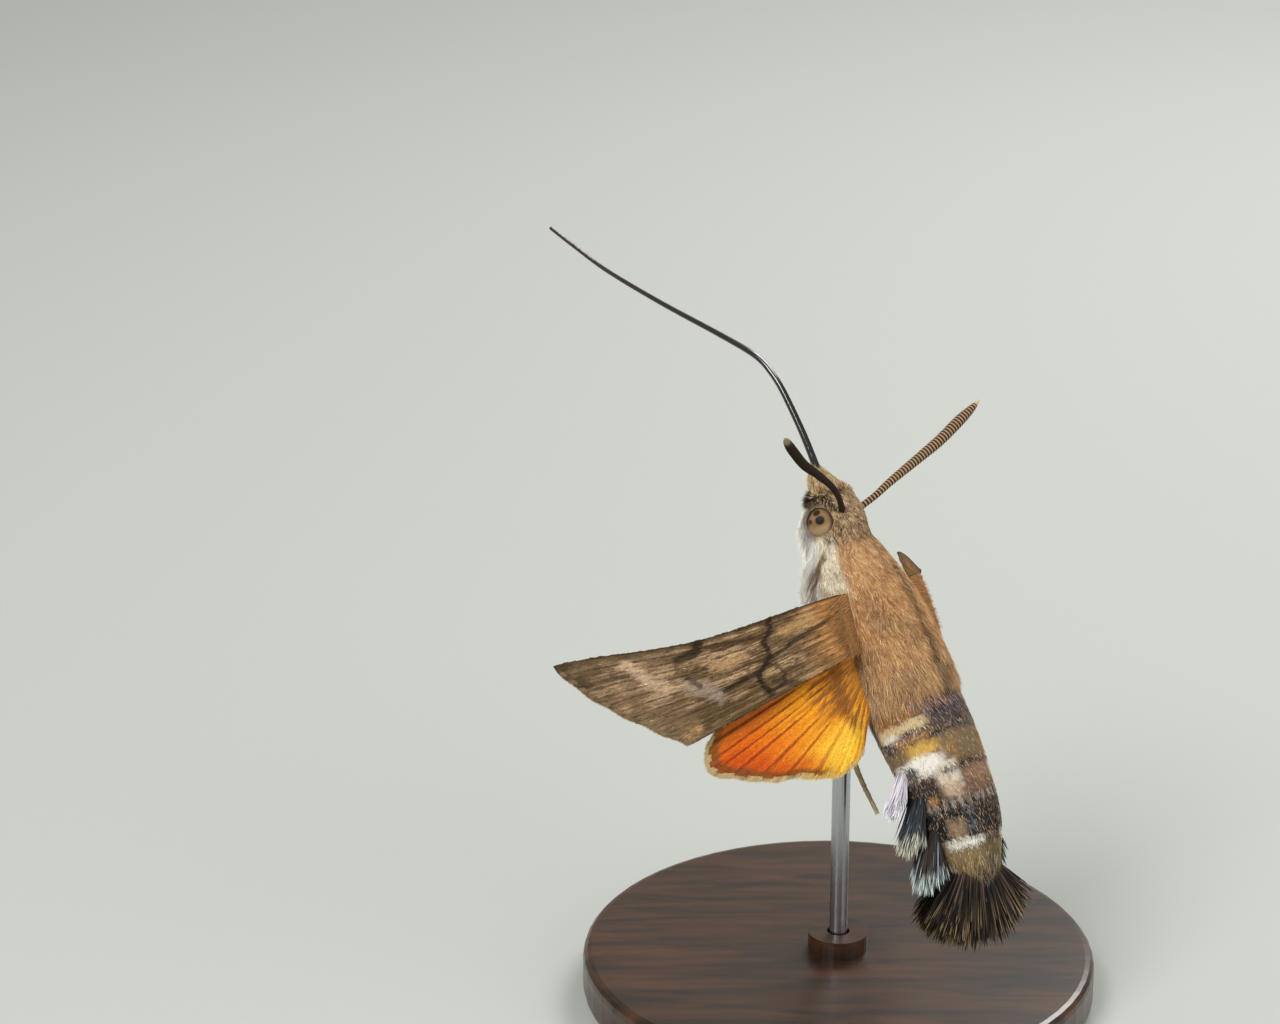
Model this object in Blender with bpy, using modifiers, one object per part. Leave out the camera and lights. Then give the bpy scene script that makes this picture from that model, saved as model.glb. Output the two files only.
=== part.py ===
"""Hummingbird hawk moth hovering, a life-size still model on a plain display stand.

The animal is built in its own frame: +X to its right, +Y towards its head, +Z towards its back,
with the middle of the thorax at the origin.
An empty then turns the whole animal into the hovering pose above the stand.
All sizes below are in millimetres and angles in degrees unless a comment says otherwise.
"""

from math import cos, pi, radians, sin, sqrt
import random

import bmesh
import bpy
from mathutils import Euler, Vector

MM = 0.001

# Pose of the animal above the stand
HEADING = 36.4
PITCH = 59.7
BANK = 16.0
THORAX_HEIGHT = 27.0

# Display stand
BASE_RADIUS = 17.0
BASE_HEIGHT = 3.0
BASE_EDGE = 0.6
ROD_RADIUS = 0.6
ROD_BOSS_RADIUS = 2.0
ROD_BOSS_HEIGHT = 1.2
SOCKET_DEPTH = 1.6
SOCKET_CLEARANCE = 0.15
ROD_TOUCH_BACK = -0.4
ROD_TOUCH_DOWN = 3.2

# Gap left between neighbouring nodes
GAP = 0.3

# Body cross-sections: lateral and dorsal shares of the plain radius
THORAX_WIDE = 1.05
THORAX_TALL = 0.965
ABDOMEN_WIDE = 1.10
ABDOMEN_TALL = 0.93
RING_POINTS = 28

# Thorax stations from front to rear: forward place, height of centre, radius
THORAX_STATIONS = (
    (5.30, -1.02, 1.55),
    (5.10, -1.01, 2.15),
    (4.40, -0.97, 2.62),
    (3.20, -0.85, 3.02),
    (1.60, -0.52, 3.26),
    (0.00, -0.20, 3.40),
    (-2.00, 0.06, 3.50),
    (-3.80, 0.30, 3.44),
    (-4.75, 0.41, 3.20),
    (-4.95, 0.43, 2.70),
)

# Head stations from the neck to the face
HEAD_STATIONS = (
    (5.62, -1.04, 1.30),
    (5.80, -1.05, 1.85),
    (6.60, -1.07, 2.16),
    (7.50, -1.06, 2.12),
    (8.40, -1.00, 1.78),
    (9.10, -0.96, 1.36),
    (9.60, -0.95, 1.00),
    (9.95, -0.95, 0.60),
)
HEAD_WIDE = 0.98
HEAD_TALL = 1.02

# Abdomen: arc along its spine, bend towards the belly in degrees and radius
ABDOMEN_START = (-5.27, 0.46)
ABDOMEN_LENGTH = 11.6
ABDOMEN_BENDS = ((0.0, -1.0), (1.6, -9.5), (4.0, -8.0), (6.0, -3.0), (8.0, 0.0), (10.0, 5.0), (11.6, 10.0))
ABDOMEN_RADII = (
    (0.0, 2.95),
    (0.25, 3.25),
    (2.0, 3.30),
    (4.0, 3.20),
    (6.0, 3.02),
    (8.0, 2.90),
    (9.0, 2.75),
    (10.0, 2.50),
    (11.2, 2.10),
    (11.6, 1.85),
)
ABDOMEN_CUTS = (0.0, 4.0, 8.0, 11.6)
ABDOMEN_NAMES = ("abdomen_front", "abdomen_middle", "abdomen_rear")

# Eyes
EYE_SIDE = 1.36
EYE_FORWARD = 7.08
EYE_HEIGHT = -0.95
EYE_SIZE = (1.05, 1.02, 1.10)

# Antennae: side, forward and height of each bend with its radius, from the root through the club
ANTENNA_RIGHT = (
    (1.00, 7.30, 0.50, 0.25),
    (1.92, 7.77, 1.32, 0.25),
    (2.98, 8.33, 1.92, 0.29),
    (5.22, 9.36, 3.19, 0.36),
    (6.72, 10.07, 4.05, 0.40),
    (8.29, 10.98, 4.94, 0.40),
    (9.24, 11.52, 5.48, 0.30),
    (9.70, 11.84, 5.72, 0.16),
)
ANTENNA_LEFT = (
    (-1.00, 7.30, 0.50, 0.25),
    (-1.79, 7.90, 1.20, 0.25),
    (-3.07, 8.71, 1.95, 0.27),
    (-5.06, 9.62, 2.64, 0.31),
    (-6.83, 10.34, 3.18, 0.34),
    (-8.62, 11.28, 4.01, 0.34),
    (-9.45, 11.75, 4.45, 0.27),
    (-9.72, 11.92, 4.60, 0.16),
)

# Proboscis in the middle plane: forward place and height along its length
PROBOSCIS_NEAR = ((9.60, -1.02), (12.30, -1.26), (13.90, -1.46), (16.20, -1.86), (17.60, -2.32), (18.60, -2.86))
PROBOSCIS_FAR = (
    (18.86, -3.05),
    (19.60, -3.76),
    (21.49, -5.79),
    (24.61, -9.24),
    (28.00, -12.72),
    (30.54, -14.90),
    (32.40, -16.40),
)
PROBOSCIS_ROOT_RADIUS = 0.28
PROBOSCIS_TIP_RADIUS = 0.25

# Wings: the span direction is set by a drop below level and a sweep ahead of square
LEFT_DROP = 31.4
LEFT_SWEEP = 3.4
RIGHT_DROP = 38.3
RIGHT_SWEEP = 9.2
WING_THICKNESS = 0.50
VEIN_RISE = 0.10
WING_CAMBER = 0.55
WING_SPAN_STEPS = 9
FOREWING_ROOT = (3.20, 1.20, 1.60)
HINDWING_ROOT = (3.30, -1.80, 0.34)
# Places in a wing are span along the wing and chord towards its trailing edge
FOREWING_ROOT_LINE = ((-1.2, -1.00), (-1.0, 2.45))
FOREWING_TIP = (21.15, -0.60)
FOREWING_TORNUS = (13.90, 6.25)
FOREWING_MARGIN_BOW = 0.58
FOREWING_LEAD_BOW = 0.70
FOREWING_RAYS = 13
HINDWING_ROOT_LINE = ((-1.2, -1.10), (-0.3, 2.30))
HINDWING_MARGIN = (
    (11.20, 2.60),
    (11.90, 3.35),
    (12.20, 4.40),
    (12.05, 5.15),
    (11.30, 5.60),
    (9.80, 6.10),
    (8.10, 6.60),
    (6.40, 6.72),
    (4.60, 7.05),
    (3.30, 7.15),
    (2.10, 6.65),
    (1.20, 5.90),
)

# Legs: side, forward and height of each bend with its radius, coxa first
LEG_FORE = (
    (0.90, 2.00, -2.30, 0.44),
    (2.20, 2.55, -3.80, 0.34),
    (2.32, 4.20, -3.36, 0.28),
    (1.88, 5.70, -3.22, 0.26),
    (1.40, 7.30, -3.46, 0.25),
)
LEG_MIDDLE = (
    (1.40, 0.90, -2.40, 0.45),
    (2.00, 1.10, -4.00, 0.42),
    (3.00, -1.90, -4.20, 0.36),
    (2.90, -5.20, -4.40, 0.28),
    (2.70, -7.20, -4.45, 0.25),
)
LEG_HIND = (
    (1.50, -2.30, -2.30, 0.48),
    (1.90, -1.90, -3.55, 0.42),
    (2.70, -4.90, -3.35, 0.36),
    (2.35, -8.70, -3.62, 0.30),
    (2.00, -11.60, -3.42, 0.25),
)

# Palps: pair of blunt scaled feelers either side of the proboscis root
PALP_STATIONS = (
    (0.80, 8.60, -1.55, 0.50),
    (0.76, 9.50, -1.50, 0.50),
    (0.66, 10.20, -1.38, 0.40),
    (0.56, 10.85, -1.28, 0.27),
)

# Tail fan: height, length, width and sideways spread of the locks in each of its three layers
FAN_LOCKS = 17
FAN_LAYERS = ((1.15, 3.9, 1.15, 42.0), (0.0, 4.4, 1.25, 50.0), (-1.05, 3.7, 1.10, 44.0))
FAN_BEND = 24.0
FAN_LIFT = 20.0
FAN_ROOT_HALF = 2.0
FAN_ROOT_BACK = 0.75
FAN_ROOT_CURVE = 0.50
FAN_HUB = ((GAP + 0.02, 2.05, 1.55), (0.9, 2.25, 1.60), (1.8, 2.00, 1.25), (2.5, 1.30, 0.75))

# Side tufts: place along the abdomen, length, lean outwards and dip towards the belly
TUFT_PLACES = ((4.4, 2.7, 0.50, 0.45), (6.4, 3.6, 0.42, 0.35), (8.5, 3.5, 0.24, 0.25))
TUFT_LOCKS = 3
TUFT_TOP = 0.05
TUFT_BOTTOM = -0.50
TUFT_LOCK_WIDTH = 1.05
SEED = 11


def lerp(first, second, share):
    """Value a share of the way from the first to the second."""
    return first + (second - first) * share


def along(table, place):
    """Smooth reading of a table of (place, value) pairs."""
    if place <= table[0][0]:
        return table[0][1]
    for (place_a, value_a), (place_b, value_b) in zip(table, table[1:]):
        if place <= place_b:
            return lerp(value_a, value_b, (place - place_a) / (place_b - place_a))
    return table[-1][1]


def clear_scene():
    """Empty the file so that only this object is in it."""
    for old in list(bpy.data.objects):
        bpy.data.objects.remove(old, do_unlink=True)
    for old in list(bpy.data.collections):
        bpy.data.collections.remove(old)


def make_collection(name):
    """New collection linked to the scene."""
    collection = bpy.data.collections.new(name)
    bpy.context.scene.collection.children.link(collection)
    return collection


def make_material(name, color, roughness, metallic=0.0):
    """Principled material with one plain colour."""
    material = bpy.data.materials.new(name)
    material.use_nodes = True
    shader = material.node_tree.nodes["Principled BSDF"]
    shader.inputs["Base Color"].default_value = (color[0], color[1], color[2], 1.0)
    shader.inputs["Roughness"].default_value = roughness
    shader.inputs["Metallic"].default_value = metallic
    return material


def mesh_object(name, points, faces, collection):
    """Object from points in millimetres and faces, with normals turned outwards."""
    mesh = bpy.data.meshes.new(name)
    mesh.from_pydata([tuple(value * MM for value in point) for point in points], [], faces)
    work = bmesh.new()
    work.from_mesh(mesh)
    bmesh.ops.recalc_face_normals(work, faces=work.faces)
    work.to_mesh(mesh)
    work.free()
    result = bpy.data.objects.new(name, mesh)
    collection.objects.link(result)
    return result


def loft(name, rings, collection):
    """Closed solid through rings of equal count, with a flat cap at each end."""
    count = len(rings[0])
    points = [point for ring in rings for point in ring]
    faces = []
    for row in range(len(rings) - 1):
        for step in range(count):
            after = (step + 1) % count
            low = row * count
            high = low + count
            faces.append((low + step, low + after, high + after, high + step))
    faces.append(tuple(reversed(range(count))))
    last = (len(rings) - 1) * count
    faces.append(tuple(range(last, last + count)))
    return mesh_object(name, points, faces, collection)


def section_ring(forward, height, bend, wide, tall):
    """Ellipse across the body at a station whose spine is bent by an angle."""
    ring = []
    turn = radians(bend)
    for step in range(RING_POINTS):
        angle = 2.0 * pi * step / RING_POINTS
        side = wide * cos(angle)
        up = tall * sin(angle)
        ring.append((side, forward - up * sin(turn), height + up * cos(turn)))
    return ring


def front_body(name, stations, wide, tall, grow, collection):
    """Head or thorax as a loft, grown outwards by a margin when it serves as a cutter."""
    rings = []
    first = stations[0][0]
    last = stations[-1][0]
    middle = (first + last) / 2.0
    reach = abs(first - last) / 2.0
    for forward, height, radius in stations:
        stretched = middle + (forward - middle) * (reach + grow) / reach
        rings.append(section_ring(stretched, height, 0.0, radius * wide + grow, radius * tall + grow))
    return loft(name, rings, collection)


def abdomen_point(arc):
    """Forward place, height and bend of the abdomen's spine at an arc length."""
    steps = 24
    forward, height = ABDOMEN_START
    for step in range(steps):
        bend = radians(along(ABDOMEN_BENDS, arc * (step + 0.5) / steps))
        forward -= cos(bend) * arc / steps
        height -= sin(bend) * arc / steps
    return forward, height, -along(ABDOMEN_BENDS, arc)


def abdomen_length(name, start, end, grow, collection):
    """One length of the abdomen between two arc places."""
    places = [start, end]
    for place, _ in ABDOMEN_RADII:
        if start + 0.05 < place < end - 0.05:
            places.append(place)
    extra = [start + (end - start) * share for share in (0.25, 0.5, 0.75)]
    for place in extra:
        if min(abs(place - other) for other in places) > 0.4:
            places.append(place)
    rings = []
    for place in sorted(places):
        forward, height, bend = abdomen_point(place)
        radius = along(ABDOMEN_RADII, place)
        rings.append(section_ring(forward, height, -bend, radius * ABDOMEN_WIDE + grow, radius * ABDOMEN_TALL + grow))
    return loft(name, rings, collection)


def tube(name, bends, collection, smooth=3):
    """Round tube through (x, y, z, radius) bends, as a bevelled poly curve turned into a mesh."""
    dense = []
    for index in range(len(bends) - 1):
        before = bends[max(index - 1, 0)]
        start = bends[index]
        end = bends[index + 1]
        after = bends[min(index + 2, len(bends) - 1)]
        for step in range(smooth):
            share = step / smooth
            dense.append(tuple(spline_value(before[k], start[k], end[k], after[k], share) for k in range(4)))
    dense.append(bends[-1])
    curve = bpy.data.curves.new(name + "_curve", "CURVE")
    curve.dimensions = "3D"
    curve.bevel_depth = MM
    curve.bevel_resolution = 2
    curve.use_fill_caps = True
    spline = curve.splines.new("POLY")
    spline.points.add(len(dense) - 1)
    for point, (x, y, z, radius) in zip(spline.points, dense):
        point.co = (x * MM, y * MM, z * MM, 1.0)
        point.radius = radius
    holder = bpy.data.objects.new(name + "_curve", curve)
    collection.objects.link(holder)
    bpy.context.view_layer.update()
    graph = bpy.context.evaluated_depsgraph_get()
    mesh = bpy.data.meshes.new_from_object(holder.evaluated_get(graph))
    mesh.name = name
    bpy.data.objects.remove(holder, do_unlink=True)
    work = bmesh.new()
    work.from_mesh(mesh)
    bmesh.ops.remove_doubles(work, verts=work.verts, dist=0.00001)
    bmesh.ops.recalc_face_normals(work, faces=work.faces)
    work.to_mesh(mesh)
    work.free()
    result = bpy.data.objects.new(name, mesh)
    collection.objects.link(result)
    return result


def spline_value(before, start, end, after, share):
    """Catmull-Rom value between the start and the end."""
    first = 2.0 * start
    second = (end - before) * share
    third = (2.0 * before - 5.0 * start + 4.0 * end - after) * share ** 2
    fourth = (3.0 * start - before - 3.0 * end + after) * share ** 3
    return 0.5 * (first + second + third + fourth)


def apply_modifiers(target):
    """Replace an object's mesh by its evaluated mesh."""
    bpy.context.view_layer.update()
    graph = bpy.context.evaluated_depsgraph_get()
    mesh = bpy.data.meshes.new_from_object(target.evaluated_get(graph))
    target.modifiers.clear()
    old = target.data
    target.data = mesh
    mesh.name = target.name
    bpy.data.meshes.remove(old)


def keep_largest(target):
    """Keep the largest closed surface of a mesh and drop the rest."""
    work = bmesh.new()
    work.from_mesh(target.data)
    bmesh.ops.remove_doubles(work, verts=work.verts, dist=0.000001)
    unseen = set(work.verts)
    groups = []
    while unseen:
        group = [unseen.pop()]
        queue = list(group)
        while queue:
            vertex = queue.pop()
            for edge in vertex.link_edges:
                other = edge.other_vert(vertex)
                if other in unseen:
                    unseen.remove(other)
                    group.append(other)
                    queue.append(other)
        groups.append(group)
    groups.sort(key=len, reverse=True)
    for group in groups[1:]:
        bmesh.ops.delete(work, geom=group, context="VERTS")
    work.to_mesh(target.data)
    work.free()


def cut(target, cutter):
    """Take the cutter away from the target."""
    modifier = target.modifiers.new("Trim", "BOOLEAN")
    modifier.operation = "DIFFERENCE"
    modifier.solver = "MANIFOLD"
    modifier.object = cutter
    apply_modifiers(target)
    keep_largest(target)


def fuse(name, pieces, parts):
    """Union of many closed pieces into one closed body."""
    group = bpy.data.collections.new(name + "_pieces")
    bpy.context.scene.collection.children.link(group)
    for piece in pieces[1:]:
        for owner in list(piece.users_collection):
            owner.objects.unlink(piece)
        group.objects.link(piece)
    body = pieces[0]
    for owner in list(body.users_collection):
        owner.objects.unlink(body)
    parts.objects.link(body)
    body.name = name
    modifier = body.modifiers.new("Join", "BOOLEAN")
    modifier.operation = "UNION"
    modifier.solver = "MANIFOLD"
    modifier.operand_type = "COLLECTION"
    modifier.collection = group
    apply_modifiers(body)
    keep_largest(body)
    for piece in list(group.objects):
        bpy.data.objects.remove(piece, do_unlink=True)
    bpy.data.collections.remove(group)
    return body


def finish(target, material, parent):
    """Give a node its material, flat mesh normals and parent."""
    target.data.materials.clear()
    target.data.materials.append(material)
    target.parent = parent
    return target


def lock(name, root, direction, flat, length, width, thickness, droop, collection):
    """Flat tapered lock from a sunk root to a narrow tip, curving a little on its way."""
    direction = direction.normalized()
    broad = flat.cross(direction).normalized()
    deep = direction.cross(broad).normalized()
    rings = []
    for share, wide, thick in ((0.0, 0.62, 1.0), (0.35, 1.0, 0.95), (0.72, 0.82, 0.75), (1.0, 0.34, 0.42)):
        centre = root + direction * (length * share) - deep * (droop * share * share)
        half = broad * (width * wide / 2.0)
        rise = deep * (thickness * thick / 2.0)
        rings.append([tuple(centre + half), tuple(centre + rise), tuple(centre - half), tuple(centre - rise)])
    return loft(name, rings, collection)


def wing_axes(side, drop, sweep):
    """Span, chord and face directions of a wing on one side (+1 right, -1 left)."""
    span = Vector((
        side * cos(radians(drop)) * cos(radians(sweep)),
        sin(radians(sweep)),
        -sin(radians(drop)) * cos(radians(sweep)),
    ))
    chord = Vector((0.0, -1.0, 0.0))
    chord = (chord - span * chord.dot(span)).normalized()
    face = span.cross(chord)
    if face.z < 0.0:
        face = -face
    return span, chord, face


def margin_point(margin, share):
    """Point along an open outline by share of its count."""
    place = share * (len(margin) - 1)
    index = min(int(place), len(margin) - 2)
    part = place - index
    first = margin[index]
    second = margin[index + 1]
    return lerp(first[0], second[0], part), lerp(first[1], second[1], part)


def camber(span_place, chord_place):
    """Height of the wing surface over its flat plane, shared by both wings of a side."""
    return WING_CAMBER * sin(pi * min(max(span_place / 21.0, 0.0), 1.0)) - 0.010 * (chord_place - 3.0) ** 2


def wing(name, side, root, axes, root_line, margin, rays, lead_bow, collection):
    """Wing plate whose veins fan from the root to the margin as ridges on both faces."""
    span, chord, face = axes
    origin = Vector((side * root[0], root[1], root[2]))
    offset = root[1] - FOREWING_ROOT[1]
    upper = []
    lower = []
    for ray in range(rays):
        share = ray / (rays - 1)
        start = (lerp(root_line[0][0], root_line[1][0], share), lerp(root_line[0][1], root_line[1][1], share))
        end = margin_point(margin, share)
        for step in range(WING_SPAN_STEPS):
            part = step / (WING_SPAN_STEPS - 1)
            place = lerp(start[0], end[0], part)
            back = lerp(start[1], end[1], part) + lead_bow * sin(pi * part ** 1.25) ** 2 * (1.0 - share)
            rise = VEIN_RISE if ray % 2 == 0 and 0 < ray < rays - 1 and step < WING_SPAN_STEPS - 1 else 0.0
            height = camber(place, back - offset)
            middle = origin + span * place + chord * back + face * height
            half = WING_THICKNESS / 2.0 + rise
            upper.append(middle + face * half)
            lower.append(middle - face * half)
    points = upper + lower
    faces = []
    shift = len(upper)
    steps = WING_SPAN_STEPS
    for ray in range(rays - 1):
        for step in range(steps - 1):
            one = ray * steps + step
            two = one + 1
            three = one + steps
            four = three + 1
            faces.append((one, two, four))
            faces.append((one, four, three))
            faces.append((shift + one, shift + four, shift + two))
            faces.append((shift + one, shift + three, shift + four))
    rim = [step for step in range(steps)]
    rim += [ray * steps + steps - 1 for ray in range(1, rays)]
    rim += [(rays - 1) * steps + step for step in range(steps - 2, -1, -1)]
    rim += [ray * steps for ray in range(rays - 2, 0, -1)]
    for index, start in enumerate(rim):
        end = rim[(index + 1) % len(rim)]
        faces.append((start, end, shift + end))
        faces.append((start, shift + end, shift + start))
    return mesh_object(name, points, faces, collection)


def forewing_margin():
    """Outer margin of the forewing from tip to tornus, bowed outwards."""
    steps = 12
    line = []
    along_x = FOREWING_TORNUS[0] - FOREWING_TIP[0]
    along_y = FOREWING_TORNUS[1] - FOREWING_TIP[1]
    size = sqrt(along_x ** 2 + along_y ** 2)
    for step in range(steps + 1):
        share = step / steps
        bow = FOREWING_MARGIN_BOW * sin(pi * share ** 0.75)
        x = FOREWING_TIP[0] + along_x * share + bow * along_y / size
        y = FOREWING_TIP[1] + along_y * share - bow * along_x / size
        line.append((x, y))
    return tuple(line)


def proboscis_bends(points, first_radius, last_radius):
    """Bends of a proboscis length in the middle plane."""
    bends = []
    for index, (forward, height) in enumerate(points):
        radius = lerp(first_radius, last_radius, index / (len(points) - 1))
        bends.append((0.0, forward, height, radius))
    return bends


def mirrored(bends, side):
    """Bends given for the right side, set on either side."""
    return [(side * x, y, z, radius) for x, y, z, radius in bends]


def abdomen_frame(arc):
    """Centre, backward direction and upward direction of the abdomen at an arc length."""
    forward, height, bend = abdomen_point(arc)
    turn = radians(-bend)
    centre = Vector((0.0, forward, height))
    back = Vector((0.0, -cos(turn), -sin(turn)))
    up = Vector((0.0, -sin(turn), cos(turn)))
    return centre, back, up


def tail_fan(scatter, parts, cutters):
    """Fan of overlapping flat locks spread sideways behind the abdomen."""
    centre, _, _ = abdomen_frame(ABDOMEN_LENGTH)
    turn = radians(FAN_BEND)
    back = Vector((0.0, -cos(turn), -sin(turn)))
    up = Vector((0.0, -sin(turn), cos(turn)))
    across = Vector((1.0, 0.0, 0.0))
    hub_rings = []
    for distance, wide, tall in FAN_HUB:
        middle = centre + back * distance
        ring = []
        for step in range(16):
            angle = 2.0 * pi * step / 16
            ring.append(tuple(middle + across * (wide * cos(angle)) + up * (tall * sin(angle))))
        hub_rings.append(ring)
    pieces = [loft("tail_fan_hub", hub_rings, cutters)]
    for rise, length, width, spread in FAN_LAYERS:
        count = FAN_LOCKS // 2 if rise else FAN_LOCKS - FAN_LOCKS // 2
        lift = radians(FAN_LIFT * (1.0 if rise > 0 else -1.0 if rise < 0 else 0.0))
        for index in range(count):
            share = 2.0 * index / (count - 1) - 1.0
            angle = radians(spread * share)
            direction = back * cos(angle) + across * sin(angle) + up * sin(lift)
            root = centre + back * (FAN_ROOT_BACK - FAN_ROOT_CURVE * share * share)
            root = root + across * (FAN_ROOT_HALF * share) + up * (rise * (1.0 - 0.35 * share * share))
            reach = length * (1.0 - 0.10 * share * share) + scatter.uniform(-0.25, 0.25)
            flat = up + across * (0.20 * share)
            pieces.append(lock("fan_lock", root, direction, flat, reach, width, 0.60, 0.25 * lift, cutters))
    return fuse("tail_fan", pieces, parts)


def side_tuft(name, side, place, length, lean, dip, scatter, parts, cutters):
    """Tuft of flat locks standing off one side of the abdomen and pointing back."""
    centre, back, up = abdomen_frame(place)
    radius = along(ABDOMEN_RADII, place)
    across = Vector((side, 0.0, 0.0))
    pieces = []
    for index in range(TUFT_LOCKS):
        share = index / (TUFT_LOCKS - 1)
        height = lerp(TUFT_TOP, TUFT_BOTTOM, share)
        edge = sqrt(max(1.0 - height * height, 0.0))
        root = centre + across * (radius * ABDOMEN_WIDE * edge - 0.35) + up * (radius * ABDOMEN_TALL * height)
        direction = back + across * (lean + 0.08 * sin(pi * share)) - up * (dip + 0.12 * (share - 0.5))
        reach = length * lerp(0.84, 1.0, sin(pi * share)) + scatter.uniform(-0.15, 0.15)
        pieces.append(lock("tuft_lock", root, direction, across + up * height, reach, TUFT_LOCK_WIDTH, 0.62, 0.1, cutters))
    return fuse(name, pieces, parts)


def ellipsoid(name, centre, size, collection):
    """Ellipsoid from a sphere of rings."""
    work = bmesh.new()
    bmesh.ops.create_uvsphere(work, u_segments=20, v_segments=12, radius=MM)
    for vertex in work.verts:
        x, y, z = vertex.co
        vertex.co = (x * size[0] + centre[0] * MM, y * size[1] + centre[1] * MM, z * size[2] + centre[2] * MM)
    mesh = bpy.data.meshes.new(name)
    work.to_mesh(mesh)
    work.free()
    result = bpy.data.objects.new(name, mesh)
    collection.objects.link(result)
    return result


def disc(name, radius, bottom, top, segments, centre, collection):
    """Upright round solid between two heights."""
    rings = []
    for height in (bottom, top):
        ring = []
        for step in range(segments):
            angle = 2.0 * pi * step / segments
            ring.append((centre[0] + radius * cos(angle), centre[1] + radius * sin(angle), height))
        rings.append(ring)
    return loft(name, rings, collection)


def build():
    """Build the whole object."""
    clear_scene()
    scatter = random.Random(SEED)
    parts = make_collection("hummingbird_hawk_moth")
    cutters = make_collection("cutters")

    brown = make_material("brown_scales", (0.28, 0.17, 0.10), 0.85)
    dark = make_material("dark_scales", (0.05, 0.035, 0.03), 0.75)
    grey = make_material("grey_brown_wing", (0.23, 0.16, 0.11), 0.8)
    orange = make_material("orange_wing", (0.80, 0.28, 0.03), 0.75)
    eye = make_material("eye_surface", (0.22, 0.12, 0.05), 0.25)
    horn = make_material("black_horn", (0.02, 0.018, 0.016), 0.3)
    pale = make_material("pale_scales", (0.60, 0.52, 0.42), 0.85)
    steel = make_material("polished_steel", (0.6, 0.6, 0.62), 0.25, 1.0)
    board = make_material("dark_wood", (0.10, 0.055, 0.03), 0.4)

    pose = bpy.data.objects.new("moth_pose", None)
    parts.objects.link(pose)
    pose.rotation_mode = "YXZ"
    pose.rotation_euler = Euler((radians(PITCH), radians(BANK), radians(HEADING)), "YXZ")
    turn = pose.rotation_euler.to_matrix()
    touch = turn @ Vector((0.0, ROD_TOUCH_BACK, -ROD_TOUCH_DOWN))
    pose.location = (-touch.x * MM, -touch.y * MM, THORAX_HEIGHT * MM)
    bpy.context.view_layer.update()

    # Grown copies of the body that trim whatever grows from it, so that a gap is left
    thorax_cutter = front_body("thorax_cutter", THORAX_STATIONS, THORAX_WIDE, THORAX_TALL, GAP, cutters)
    head_cutter = front_body("head_cutter", HEAD_STATIONS, HEAD_WIDE, HEAD_TALL, GAP, cutters)
    abdomen_cutter = abdomen_length("abdomen_cutter", 0.0, ABDOMEN_LENGTH, GAP, cutters)

    # Body
    thorax = front_body("thorax", THORAX_STATIONS, THORAX_WIDE, THORAX_TALL, 0.0, parts)
    finish(thorax, brown, pose)
    head = front_body("head", HEAD_STATIONS, HEAD_WIDE, HEAD_TALL, 0.0, parts)
    for side in (-1.0, 1.0):
        socket_size = tuple(value + GAP for value in EYE_SIZE)
        socket = ellipsoid("eye_socket", (side * EYE_SIDE, EYE_FORWARD, EYE_HEIGHT), socket_size, cutters)
        cut(head, socket)
    finish(head, brown, pose)
    for index, name in enumerate(ABDOMEN_NAMES):
        start = ABDOMEN_CUTS[index]
        end = ABDOMEN_CUTS[index + 1]
        if index < len(ABDOMEN_NAMES) - 1:
            end -= GAP
        length = abdomen_length(name, start, end, 0.0, parts)
        finish(length, dark if index == 2 else brown, pose)

    # Tail fan in many locks
    fan = tail_fan(scatter, parts, cutters)
    cut(fan, abdomen_cutter)
    finish(fan, dark, pose)

    # Paired parts
    for label, side in (("left", -1.0), ("right", 1.0)):
        globe = ellipsoid("eye_" + label, (side * EYE_SIDE, EYE_FORWARD, EYE_HEIGHT), EYE_SIZE, parts)
        finish(globe, eye, pose)

        antenna = tube("antenna_" + label, ANTENNA_LEFT if side < 0 else ANTENNA_RIGHT, parts)
        cut(antenna, head_cutter)
        finish(antenna, dark, pose)

        palp = tube("palp_" + label, mirrored(PALP_STATIONS, side), parts)
        cut(palp, head_cutter)
        finish(palp, pale, pose)

        for number, (place, length, lean, dip) in enumerate(TUFT_PLACES, start=1):
            name = "tuft_" + label + "_" + str(number)
            tuft = side_tuft(name, side, place, length, lean, dip, scatter, parts, cutters)
            cut(tuft, abdomen_cutter)
            finish(tuft, pale if number == 1 else dark, pose)

        for leg, bends in (("fore", LEG_FORE), ("middle", LEG_MIDDLE), ("hind", LEG_HIND)):
            limb = tube("leg_" + leg + "_" + label, mirrored(bends, side), parts)
            cut(limb, thorax_cutter)
            finish(limb, pale, pose)

        drop = LEFT_DROP if side < 0 else RIGHT_DROP
        sweep = LEFT_SWEEP if side < 0 else RIGHT_SWEEP
        axes = wing_axes(side, drop, sweep)
        name = "forewing_" + label
        plate = wing(name, side, FOREWING_ROOT, axes, FOREWING_ROOT_LINE, forewing_margin(), FOREWING_RAYS,
                     FOREWING_LEAD_BOW, parts)
        cut(plate, thorax_cutter)
        finish(plate, grey, pose)
        name = "hindwing_" + label
        plate = wing(name, side, HINDWING_ROOT, axes, HINDWING_ROOT_LINE, HINDWING_MARGIN, len(HINDWING_MARGIN) + 1,
                     0.0, parts)
        cut(plate, thorax_cutter)
        cut(plate, abdomen_cutter)
        finish(plate, orange, pose)

    # Proboscis in two lengths that meet at its bend
    bend_radius = lerp(PROBOSCIS_ROOT_RADIUS, PROBOSCIS_TIP_RADIUS, 0.35)
    near = tube("proboscis_near", proboscis_bends(PROBOSCIS_NEAR, PROBOSCIS_ROOT_RADIUS, bend_radius), parts)
    cut(near, head_cutter)
    finish(near, horn, pose)
    far = tube("proboscis_far", proboscis_bends(PROBOSCIS_FAR, bend_radius, PROBOSCIS_TIP_RADIUS), parts)
    finish(far, horn, pose)

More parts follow.
